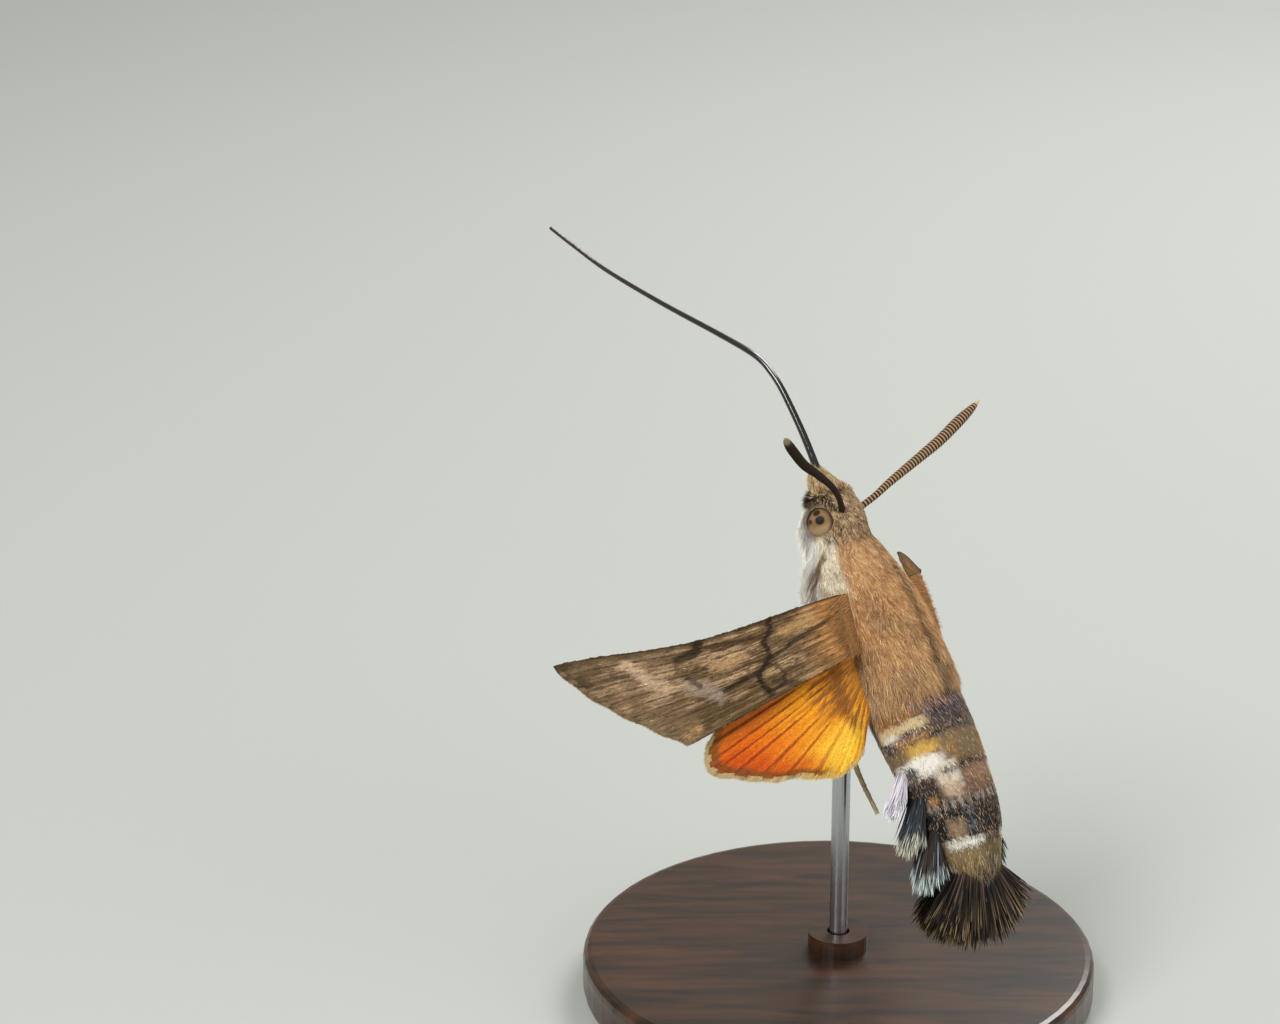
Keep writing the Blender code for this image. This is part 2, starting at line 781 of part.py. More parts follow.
    # Stand
    base = disc("stand_base", BASE_RADIUS, 0.0, BASE_HEIGHT, 64, (0.0, 0.0), parts)
    bevel = base.modifiers.new("Rounded edge", "BEVEL")
    bevel.width = BASE_EDGE * MM
    bevel.segments = 3
    bevel.limit_method = "ANGLE"
    bevel.angle_limit = radians(60.0)
    apply_modifiers(base)
    boss = disc("stand_boss", ROD_BOSS_RADIUS, BASE_HEIGHT - 1.0, BASE_HEIGHT + ROD_BOSS_HEIGHT, 32, (0.0, 0.0), cutters)
    base = fuse("stand_base", [base, boss], parts)
    hole_bottom = BASE_HEIGHT + ROD_BOSS_HEIGHT - SOCKET_DEPTH
    hole_top = BASE_HEIGHT + ROD_BOSS_HEIGHT + 1.0
    hole = disc("socket", ROD_RADIUS + SOCKET_CLEARANCE, hole_bottom, hole_top, 24, (0.0, 0.0), cutters)
    cut(base, hole)
    finish(base, board, None)
    rod = disc("stand_rod", ROD_RADIUS, hole_bottom + SOCKET_CLEARANCE, THORAX_HEIGHT, 24, (0.0, 0.0), parts)
    thorax_cutter.parent = pose
    bpy.context.view_layer.update()
    cut(rod, thorax_cutter)
    finish(rod, steel, None)

    for cutter in cutters.objects:
        cutter.hide_render = True
        cutter.display_type = "WIRE"


build()
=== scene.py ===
"""Looks of a hovering hummingbird hawk moth on its display stand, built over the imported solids.

The animal is described in its own frame in millimetres, with +X to its right, +Y to its head and
+Z to its back, and is then placed in the world in metres.
"""
from __future__ import annotations

import logging
from dataclasses import dataclass
from enum import Enum
from math import cos, pi, radians, sin

import bpy
import numpy as np
from mathutils import Euler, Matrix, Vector

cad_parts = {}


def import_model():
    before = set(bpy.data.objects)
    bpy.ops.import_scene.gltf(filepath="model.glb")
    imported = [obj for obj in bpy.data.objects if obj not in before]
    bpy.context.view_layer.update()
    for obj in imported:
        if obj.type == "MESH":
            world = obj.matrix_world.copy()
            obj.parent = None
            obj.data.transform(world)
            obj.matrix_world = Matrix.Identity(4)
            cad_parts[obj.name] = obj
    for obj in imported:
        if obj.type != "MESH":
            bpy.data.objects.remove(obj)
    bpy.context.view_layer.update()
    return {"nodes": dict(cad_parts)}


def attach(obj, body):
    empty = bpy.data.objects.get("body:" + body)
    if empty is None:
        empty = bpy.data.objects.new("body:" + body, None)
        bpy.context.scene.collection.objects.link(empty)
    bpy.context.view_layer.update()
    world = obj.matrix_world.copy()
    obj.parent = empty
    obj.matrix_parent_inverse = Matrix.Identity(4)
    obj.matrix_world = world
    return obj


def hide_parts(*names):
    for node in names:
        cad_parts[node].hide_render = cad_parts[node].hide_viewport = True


Rows = np.ndarray
Colour = str | np.ndarray
Random = np.random.Generator
Piece = bpy.types.Object
Material = bpy.types.Material

LOG = logging.getLogger("hawk_moth")

MM = 0.001
PHOTO_WIDTH = 1280
PHOTO_HEIGHT = 1024
TINT = "tint"
COAT_UV = "OFBake"
LEFT = -1.0
RIGHT = 1.0
# Edge of the bake map that stays free, and the spans of an unwrap that fills it or half of it
MAP_EDGE = 0.02
MAP_SPAN = 0.96
HALF_MAP = 0.45
# Degrees round the body that count as one millimetre along it, for lines drawn on it
LINE_SCALE = 20.0
FORE_VEINS = 12.0
HIND_VEINS = 10.0
# Centre of the right eye and half sizes of both
EYE_CENTRE = (1.36, 7.08, -0.95)
EYE_SIZE = np.array([1.03, 1.00, 1.08])
# Half width and half height of the abdomen over its plain radius
BELLY_WIDE = 1.10
BELLY_TALL = 0.93
# Section places and swells of a blade with one section and its tip
SINGLE = ((0.0,), (1.0,))


def srgb(colour: Colour) -> Rows:
    """Turn an sRGB hex code into linear values, and leave colours that are linear already.

    Args:
        colour: Code such as "#A98B6E", or linear values.

    Returns:
        Linear values.
    """
    if not isinstance(colour, str):
        return colour
    values = np.array([int(colour[place:place + 2], 16) for place in (1, 3, 5)]) / 255.0
    return np.where(values <= 0.04045, values / 12.92, ((values + 0.055) / 1.055) ** 2.4)


def mix(first: Colour, second: Colour, share: Rows) -> Rows:
    """Blend two colours, or rows of colours, by a share for each row.

    Args:
        first: Hex code, linear colour or one colour a row.
        second: Colour of any of these kinds.
        share: Share of the second colour for each row.

    Returns:
        One colour per row.
    """
    part = np.clip(share, 0.0, 1.0)[:, None]
    first, second = (np.broadcast_to(srgb(colour), (len(share), 3)) for colour in (first, second))
    return first * (1.0 - part) + second * part


def paint(tone: Colour, *layers: tuple[Colour, Rows]) -> Rows:
    """Lay colours over a base, one after another.

    Args:
        tone: The base.
        layers: Each colour with its share for each row.

    Returns:
        One colour per row.
    """
    for colour, share in layers:
        tone = mix(tone, colour, share)
    return tone


def rise(values: Rows, low: float, high: float) -> Rows:
    """Smooth step from 0 at the low value to 1 at the high value, either way round."""
    share = np.clip((values - low) / (high - low), 0.0, 1.0)
    return share * share * (3.0 - 2.0 * share)


def bell(values: Rows, centre: float, width: float) -> Rows:
    """Soft hump that is 1 at the centre and about 0 beyond the width."""
    return np.exp(-((values - centre) / (0.5 * width)) ** 2)


def unit(rows: Rows) -> Rows:
    """Rows scaled to length 1."""
    return rows / np.maximum(np.linalg.norm(rows, axis=-1, keepdims=True), 1e-9)


def half_turn(angle: Rows) -> Rows:
    """Degrees from the middle of the back, the same on both sides."""
    return np.abs((angle + pi) % (2.0 * pi) - pi) * 180.0 / pi


def slope(turn: float) -> tuple[Rows, Rows]:
    """Backward and upward directions of a spine that dips by an angle."""
    return np.array([0.0, -cos(turn), -sin(turn)]), np.array([0.0, -sin(turn), cos(turn)])


def side_word(side: float) -> str:
    """Name of a side of the animal."""
    return "left" if side < 0 else "right"


def circle(count: int) -> Rows:
    """Evenly spaced angles of a full turn."""
    return np.arange(count) * 2.0 * pi / count


def arc_lengths(path: Rows) -> Rows:
    """Length along a path up to each of its points."""
    return np.concatenate([[0.0], np.cumsum(np.linalg.norm(np.diff(path, axis=0), axis=1))])


def vary(rng: Random, spread: float, count: int) -> Rows:
    """Random factors round 1, one for each blade."""
    return np.exp(rng.normal(0.0, spread, count))[:, None]


def strands(tint: Rows, root: float, tip: float = 1.15) -> Rows:
    """Colours at the root, middle and tip of each blade, as factors on its own tint, the root's darker as
    painted shade.
    """
    return np.stack([tint * root, tint, np.clip(tint * tip, 0.0, 1.0)], axis=1)


def value_noise(x: Rows, y: Rows, seed: int) -> Rows:
    """Smooth random field between 0 and 1 with features one unit across.

    Args:
        x: First coordinate.
        y: Second coordinate.
        seed: Number that picks the field.

    Returns:
        Field values.
    """
    def corner(i: Rows, j: Rows) -> Rows:
        """Random value at a whole-number corner."""
        wave = np.sin(i * 127.1 + j * 311.7 + seed * 74.7) * 43758.5453
        return wave - np.floor(wave)

    i, j = np.floor(x), np.floor(y)
    u, v = x - i, y - j
    u, v = u * u * (3.0 - 2.0 * u), v * v * (3.0 - 2.0 * v)
    low = corner(i, j) * (1.0 - u) + corner(i + 1.0, j) * u
    high = corner(i, j + 1.0) * (1.0 - u) + corner(i + 1.0, j + 1.0) * u
    return low * (1.0 - v) + high * v


def line_distance(x: Rows, y: Rows, path: tuple[tuple[float, float], ...]) -> Rows:
    """Distance from points to an open path.

    Args:
        x: First coordinate of the points.
        y: Second coordinate of the points.
        path: Corners of the path.

    Returns:
        Shortest distance for each point.
    """
    nearest = np.full(x.shape, 1e9)
    for (ax, ay), (bx, by) in zip(path, path[1:]):
        dx, dy = bx - ax, by - ay
        share = np.clip(((x - ax) * dx + (y - ay) * dy) / (dx * dx + dy * dy), 0.0, 1.0)
        nearest = np.minimum(nearest, np.hypot(x - ax - share * dx, y - ay - share * dy))
    return nearest


@dataclass(frozen=True)
class Pose:
    """Place of the animal's own frame over the stand."""

    heading: float = 36.4
    pitch: float = 59.7
    bank: float = 16.0
    height: float = 27.0
    touch_back: float = -0.4
    touch_down: float = 3.2

    def turn(self) -> Rows:
        """Rotation from the animal's frame to the world."""
        angles = Euler((radians(self.pitch), radians(self.bank), radians(self.heading)), "YXZ")
        return np.array(angles.to_matrix())

    def centre(self) -> Rows:
        """Middle of the thorax in world millimetres, over the rod's foot."""
        touch = self.turn() @ np.array([0.0, self.touch_back, -self.touch_down])
        return np.array([-touch[0], -touch[1], self.height])

    def world(self, points: Rows) -> Rows:
        """Points in the animal's millimetres as world metres."""
        return (points @ self.turn().T + self.centre()) * MM


POSE = Pose()


def mesh_piece(
    name: str,
    points: Rows,
    faces: list[Rows],
    tints: Rows | None = None,
    uv: Rows | None = None,
    smooth: bool = True,
) -> Piece:
    """Make a mesh object from arrays in the animal's frame.

    Args:
        name: Name of the piece.
        points: Points in the animal's millimetres.
        faces: Arrays of triangles or quads.
        tints: Linear colour of each point.
        uv: Place of each point on the bake map.
        smooth: Whether the faces are shaded smooth.

    Returns:
        The linked object.
    """
    mesh = bpy.data.meshes.new(name)
    loops = np.concatenate([part.reshape(-1) for part in faces]).astype(np.int32)
    counts = np.concatenate([np.full(len(part), part.shape[1]) for part in faces]).astype(np.int32)
    starts = np.concatenate([[0], np.cumsum(counts)[:-1]]).astype(np.int32)
    mesh.vertices.add(len(points))
    mesh.vertices.foreach_set("co", POSE.world(points).astype(np.float32).reshape(-1))
    mesh.loops.add(len(loops))
    mesh.loops.foreach_set("vertex_index", loops)
    mesh.polygons.add(len(counts))
    mesh.polygons.foreach_set("loop_start", starts)
    mesh.polygons.foreach_set("use_smooth", np.full(len(counts), smooth))
    if tints is not None:
        layer = mesh.color_attributes.new(TINT, "FLOAT_COLOR", "POINT")
        rgba = np.ones((len(points), 4), np.float32)
        rgba[:, :3] = np.clip(tints, 0.0, 1.0)
        layer.data.foreach_set("color", rgba.reshape(-1))
    if uv is not None:
        layer = mesh.uv_layers.new(name=COAT_UV)
        layer.data.foreach_set("uv", uv[loops].astype(np.float32).reshape(-1))
    mesh.update(calc_edges=True)
    mesh.validate()
    piece = bpy.data.objects.new(name, mesh)
    bpy.context.scene.collection.objects.link(piece)
    return piece


def grid_faces(rows: int, columns: int, closed: bool) -> Rows:
    """Quads of a grid of points.

    Args:
        rows: Count of rows of points.
        columns: Count of points in a row.
        closed: Whether each row closes on itself.

    Returns:
        One quad per row.
    """
    steps = columns if closed else columns - 1
    i, j = np.meshgrid(np.arange(rows - 1), np.arange(steps), indexing="ij")
    after = (j + 1) % columns
    near, far = i * columns, (i + 1) * columns
    return np.stack([near + j, near + after, far + after, far + j], axis=-1).reshape(-1, 4)


def spline(table: Rows, steps: int) -> Rows:
    """Smooth curve through the rows of a table.

    Args:
        table: Rows of numbers the curve passes through.
        steps: Points between two rows.

    Returns:
        Rows of the dense curve.
    """
    padded = np.vstack([table[0], table, table[-1]])
    rows = []
    for index in range(1, len(padded) - 2):
        a, b, c, d = padded[index - 1:index + 3]
        for step in range(steps):
            t = step / steps
            square, cube = 2 * a - 5 * b + 4 * c - d, 3 * b - a - 3 * c + d
            rows.append(0.5 * (2 * b + (c - a) * t + square * t ** 2 + cube * t ** 3))
    rows.append(table[-1])
    return np.array(rows)


def tube_rings(path: Rows, radii: Rows, sides: int, ridge: Rows | None = None) -> Rows:
    """Rings of points round a path.

    Args:
        path: Centre points.
        radii: Radius at each centre.
        sides: Points in a ring.
        ridge: Factor on the radius for each side, if the section isn't round.

    Returns:
        Points ordered ring by ring.
    """
    ahead = unit(np.gradient(path, axis=0))
    across = np.array([1.0, 0.0, 0.0])
    if abs(ahead[0] @ across) > 0.9:
        across = np.array([0.0, 0.0, 1.0])
    rings = []
    for centre, direction, radius in zip(path, ahead, radii):
        across = unit(across - direction * (across @ direction))
        up = np.cross(across, direction)
        angles = np.arange(sides) * 2.0 * pi / sides
        reach = radius * (ridge if ridge is not None else np.ones(sides))
        rings.append(centre + np.outer(np.cos(angles) * reach, across) + np.outer(np.sin(angles) * reach, up))
    return np.vstack(rings)


def closed_piece(
    name: str, points: Rows, columns: int, tints: Rows, ends: Rows | None = None, flip: bool = False
) -> Piece:
    """Skin over closed rows of points, with a fan of triangles to a point at either end.

    Args:
        name: Name of the piece.
        points: Points ordered row by row.
        columns: Points in a row.
        tints: Colour of each point.
        ends: The two end points, or nothing for the middles of the first and last rows.
        flip: Whether the rows run the other way round.

    Returns:
        The closed piece.
    """
    count = len(points)
    if ends is None:
        ends = np.array([points[:columns].mean(axis=0), points[-columns:].mean(axis=0)])
    side = np.arange(columns)
    after = (side + 1) % columns
    near, far = (side, after) if flip else (after, side)
    base = count - columns
    low = np.stack([np.full(columns, count), near, far], axis=1)
    high = np.stack([np.full(columns, count + 1), base + far, base + near], axis=1)
    quads = grid_faces(count // columns, columns, True)
    faces = [quads[:, ::-1] if flip else quads, low, high]
    return mesh_piece(name, np.vstack([points, ends]), faces, np.vstack([tints, tints[:1], tints[-1:]]))


def tube_piece(
    name: str, path: Rows, radii: Rows, sides: int, tints: Rows, ridge: Rows | None = None
) -> Piece:
    """Closed tube with a colour for each ring.

    Args:
        name: Name of the piece.
        path: Centre points.
        radii: Radius at each centre.
        sides: Points in a ring.
        tints: Colour of each ring.
        ridge: Factor on the radius for each side.

    Returns:
        The tube.
    """
    points = tube_rings(path, radii, sides, ridge)
    return closed_piece(name, points, sides, np.repeat(tints, sides, axis=0), path[[0, -1]], True)


@dataclass
class Blades:
    """Many tapered three-sided blades, each a hair, a scale or a strand, joined in one mesh.

    Attributes:
        roots: Place of each root.
        ahead: Direction of each blade.
        up: Outward direction at each root.
        length: Length of each blade.
        width: Width of each blade.
        droop: Bend of the tip towards the surface, as a share of the length.
        colours: Colours at root, middle and tip, three rows a blade.
        uv: Place of each root on an unwrap of what it grows from.
        turn: Share of the length up to which the middle colour holds before the tip's begins.
        PATCH: Size of a blade's own patch on the bake map.
        MIDDLE: Share of the length at which the root's colour has given way to the middle's.
        KEEL: Height of a blade's ridge as a share of its width.
    """

    roots: Rows
    ahead: Rows
    up: Rows
    length: Rows
    width: Rows
    droop: Rows
    colours: Rows
    uv: Rows
    turn: float = 0.5

    PATCH = 0.003
    MIDDLE = 0.4
    KEEL = 0.30

    def take(self, chosen: Rows) -> "Blades":
        """The chosen blades only."""
        return Blades(
            self.roots[chosen], self.ahead[chosen], self.up[chosen], self.length[chosen],
            self.width[chosen], self.droop[chosen], self.colours[chosen], self.uv[chosen], self.turn,
        )

    def build(self, name: str, shares: tuple[float, ...], swell: tuple[float, ...]) -> Piece:
        """Build the joined mesh.

        Args:
            name: Name of the piece.
            shares: Places of the sections along a blade, before its tip.
            swell: Width of each section as a share of the full width.

        Returns:
            The joined blades.
        """
        count = len(self.roots)
        ahead = unit(self.ahead)
        across = unit(np.cross(ahead, self.up))
        up = np.cross(across, ahead)
        layers, tints, places = [], [], []
        for share, wide in zip(shares, swell):
            centre = self.section(ahead, up, share)
            half = across * (0.5 * wide * self.width)[:, None]
            top = up * (self.KEEL * wide * self.width)[:, None]
            layers += [centre - half, centre + half, centre + top]
            tint = self.tint(share)
            tints += [tint, tint, tint]
            drift = self.PATCH * (share - 0.5)
            places += [self.uv + [step, drift] for step in (-self.PATCH / 2, self.PATCH / 2, 0.0)]
        layers.append(self.section(ahead, up, 1.0))
        tints.append(self.tint(1.0))
        places.append(self.uv + [0.0, self.PATCH / 2])
        sections = len(shares)
        local = [(0, 1, 2)]
        for step in range(sections - 1):
            a, b, c = 3 * step, 3 * step + 1, 3 * step + 2
            for one, two in ((a, b), (b, c), (c, a)):
                local += [(one, one + 3, two + 3), (one, two + 3, two)]
        a, b, c, tip = 3 * sections - 3, 3 * sections - 2, 3 * sections - 1, 3 * sections
        local += [(a, tip, b), (b, tip, c), (c, tip, a)]
        each = 3 * sections + 1
        points = np.stack(layers, axis=1).reshape(-1, 3)
        colours = np.stack(tints, axis=1).reshape(-1, 3)
        uv = np.stack(places, axis=1).reshape(-1, 2)
        faces = (np.array(local)[None, :, :] + (np.arange(count) * each)[:, None, None]).reshape(-1, 3)
        return mesh_piece(name, points, [faces], colours, uv, smooth=False)

    def section(self, ahead: Rows, up: Rows, share: float) -> Rows:
        """Centre of every blade at a share of its length."""
        reach = self.length[:, None]
        return self.roots + ahead * reach * share - up * (self.droop[:, None] * reach * share * share)

    def tint(self, share: float) -> Rows:
        """Colour of every blade at a share of its length.

        Args:
            share: Share of the length.

        Returns:
            One colour a blade.
        """
        low = min(share / self.MIDDLE, 1.0)
        high = max(share - self.turn, 0.0) / (1.0 - self.turn)
        base = self.colours[:, 0] * (1.0 - low) + self.colours[:, 1] * low
        return base * (1.0 - high) + self.colours[:, 2] * high


def join_blades(groups: list[Blades]) -> Blades:
    """All blades of several groups in one."""
    names = ("roots", "ahead", "up", "length", "width", "droop", "colours", "uv")
    return Blades(*[np.concatenate([getattr(group, name) for group in groups]) for name in names])


@dataclass
class Graph:
    """Node tree of a new material, with a short way to add nodes.

    Attributes:
        name: Name of the material.
    """

    name: str

    def __post_init__(self) -> None:
        """Make the material with an empty tree."""
        self.material = bpy.data.materials.new(self.name)
        self.material.use_nodes = True
        self.material.node_tree.nodes.clear()

    def add(
        self, kind: str, settings: dict | None = None, links: dict | None = None
    ) -> bpy.types.bpy_prop_collection:
        """Add a node.

        Args:
            kind: Blender's name of the shader node, without its prefix.
            settings: Node properties and plain socket values by name.
            links: Output sockets to join to input sockets by name or number.

        Returns:
            The outputs of the new node.
        """
        tree = self.material.node_tree
        node = tree.nodes.new("ShaderNode" + kind)
        for name, value in (settings or {}).items():
            if name in node.inputs:
                node.inputs[name].default_value = value
            else:
                setattr(node, name, value)
        for name, source in (links or {}).items():
            tree.links.new(source, node.inputs[name])
        return node.outputs

    def tint(self) -> bpy.types.NodeSocket:
        """Colour painted on the points."""
        return self.add("VertexColor", {"layer_name": TINT})["Color"]

    def place(self) -> bpy.types.NodeSocket:
        """Place in the piece's own space."""
        return self.add("TexCoord")["Object"]

    def finish(self, settings: dict, links: dict) -> Material:
        """Close the tree with one principled shader.

        Args:
            settings: Plain values of the shader's sockets.
            links: Output sockets for the shader's inputs.

        Returns:
            The material.
        """
        shader = self.add("BsdfPrincipled", settings, links)
        self.add("OutputMaterial", None, {"Surface": shader["BSDF"]})
        return self.material


@dataclass(frozen=True)
class ScaleCoat:
    """Hair-like chitin scales, dry and matt, coloured strand by strand."""

    name: str = "hair_scales"
    roughness: float = 0.72
    specular: float = 0.14

    def material(self) -> Material:
        """Build the material."""
        graph = Graph(self.name)
        settings = {"Roughness": self.roughness, "Specular IOR Level": self.specular}
        return graph.finish(settings, {"Base Color": graph.tint()})


@dataclass(frozen=True)
class WingScales:
    """Flat overlapping wing scales: matt, with a fine mottled grain at the scales' own size."""

    name: str = "wing_scales"
    grain_per_mm: float = 9.0
    grain_tone: tuple = (0.72, 1.22)
    grain_depth: float = 0.04 * MM
    roughness: float = 0.66
    specular: float = 0.12

    def material(self) -> Material:
        """Build the material."""
        graph = Graph(self.name)
        size = self.grain_per_mm / MM
        grain = graph.add("TexNoise", {"Scale": size, "Detail": 3.0}, {"Vector": graph.place()})["Fac"]
        low, high = self.grain_tone
        levels = {"From Min": 0.3, "From Max": 0.7, "To Min": low, "To Max": high}
        tone = graph.add("MapRange", levels, {"Value": grain})["Result"]
        shade = graph.add("VectorMath", {"operation": "SCALE"}, {0: graph.tint(), "Scale": tone})["Vector"]
        relief = {"Strength": 0.35, "Distance": self.grain_depth}
        bump = graph.add("Bump", relief, {"Height": grain})["Normal"]
        settings = {"Roughness": self.roughness, "Specular IOR Level": self.specular}
        return graph.finish(settings, {"Base Color": shade, "Normal": bump})


@dataclass(frozen=True)
class CompoundEye:
    """Faceted eye: tiny lenses in a fine cell pattern that scatters the light, so the eye looks matt."""

    name: str = "compound_eye"
    facets_per_mm: float = 34.0
    facet_depth: float = 0.01 * MM

    def material(self) -> Material:
        """Build the material."""
        graph = Graph(self.name)
        size = self.facets_per_mm / MM
        cells = graph.add("TexVoronoi", {"Scale": size}, {"Vector": graph.place()})["Distance"]
        relief = {"Strength": 0.25, "Distance": self.facet_depth, "invert": True}
        bump = graph.add("Bump", relief, {"Height": cells})["Normal"]
        settings = {"Roughness": 0.55, "Specular IOR Level": 0.22}
        return graph.finish(settings, {"Base Color": graph.tint(), "Normal": bump})


@dataclass(frozen=True)
class Horn:
    """Smooth sclerotised tube, dark and glossy, that carries a thin bright line of light."""

    name: str = "proboscis_horn"
    roughness: float = 0.16

    def material(self) -> Material:
        """Build the material."""
        graph = Graph(self.name)
        polish = {"Specular IOR Level": 0.6, "Coat Weight": 0.4, "Coat Roughness": 0.1}
        return graph.finish({"Roughness": self.roughness, **polish}, {"Base Color": graph.tint()})


@dataclass(frozen=True)
class LacqueredWood:
    """Turned dark wood under satin lacquer: long grain lines with fine pores."""

    name: str = "lacquered_walnut"
    stops: tuple = ((0.35, "#24150C"), (0.68, "#4A2D1A"))
    stretch: tuple = (120.0, 900.0, 900.0)
    pore_depth: float = 0.05 * MM

    def material(self) -> Material:
        """Build the material."""
        graph = Graph(self.name)
        along = graph.add("Mapping", {"Scale": self.stretch}, {"Vector": graph.place()})["Vector"]
        lines = {"Scale": 1.0, "Detail": 6.0, "Distortion": 0.6}
        grain = graph.add("TexNoise", lines, {"Vector": along})["Fac"]
        colour = graph.add("ValToRGB", None, {"Fac": grain})["Color"]
        for element, (position, code) in zip(colour.node.color_ramp.elements, self.stops):
            element.position = position
            element.color = (*srgb(code), 1.0)
        relief = {"Strength": 0.08, "Distance": self.pore_depth}
        bump = graph.add("Bump", relief, {"Height": grain})["Normal"]
        lacquer = {"Roughness": 0.34, "Specular IOR Level": 0.45, "Coat Weight": 0.3, "Coat Roughness": 0.2}
        return graph.finish(lacquer, {"Base Color": colour, "Normal": bump})


@dataclass(frozen=True)
class PolishedSteel:
    """Drawn steel rod with fine lengthwise polish lines."""

    name: str = "polished_steel_rod"
    tone: str = "#B9BABD"
    stretch: tuple = (9000.0, 9000.0, 300.0)

    def material(self) -> Material:
        """Build the material."""
        graph = Graph(self.name)
        along = graph.add("Mapping", {"Scale": self.stretch}, {"Vector": graph.place()})["Vector"]
        lines = graph.add("TexNoise", {"Scale": 1.0, "Detail": 2.0}, {"Vector": along})["Fac"]
        rough = graph.add("MapRange", {"To Min": 0.18, "To Max": 0.38}, {"Value": lines})["Result"]
        return graph.finish({"Base Color": (*srgb(self.tone), 1.0), "Metallic": 1.0}, {"Roughness": rough})


@dataclass(frozen=True)
class PaleBackdrop:
    """Seamless matt paper under and behind the stand."""

    name: str = "pale_backdrop"
    tone: str = "#B0B3AD"
    roughness: float = 0.9

    def material(self) -> Material:
        """Build the material."""
        settings = {"Base Color": (*srgb(self.tone), 1.0), "Roughness": self.roughness}
        return Graph(self.name).finish(settings, {})


def dress(piece: Piece, material: Material, slot: str, *nodes: str) -> Piece:
    """Give a piece its material and its place in the frame.

    Args:
        piece: The piece.
        material: Its material.
        slot: The record's material slot; not used.
        nodes: The solids that the piece stands for.

    Returns:
        The piece.
    """
    piece.data.materials.clear()
    piece.data.materials.append(material)
    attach(piece, "root")
    if nodes:
        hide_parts(*nodes)
    LOG.info("%s: %d faces", piece.name, len(piece.data.polygons))
    return piece


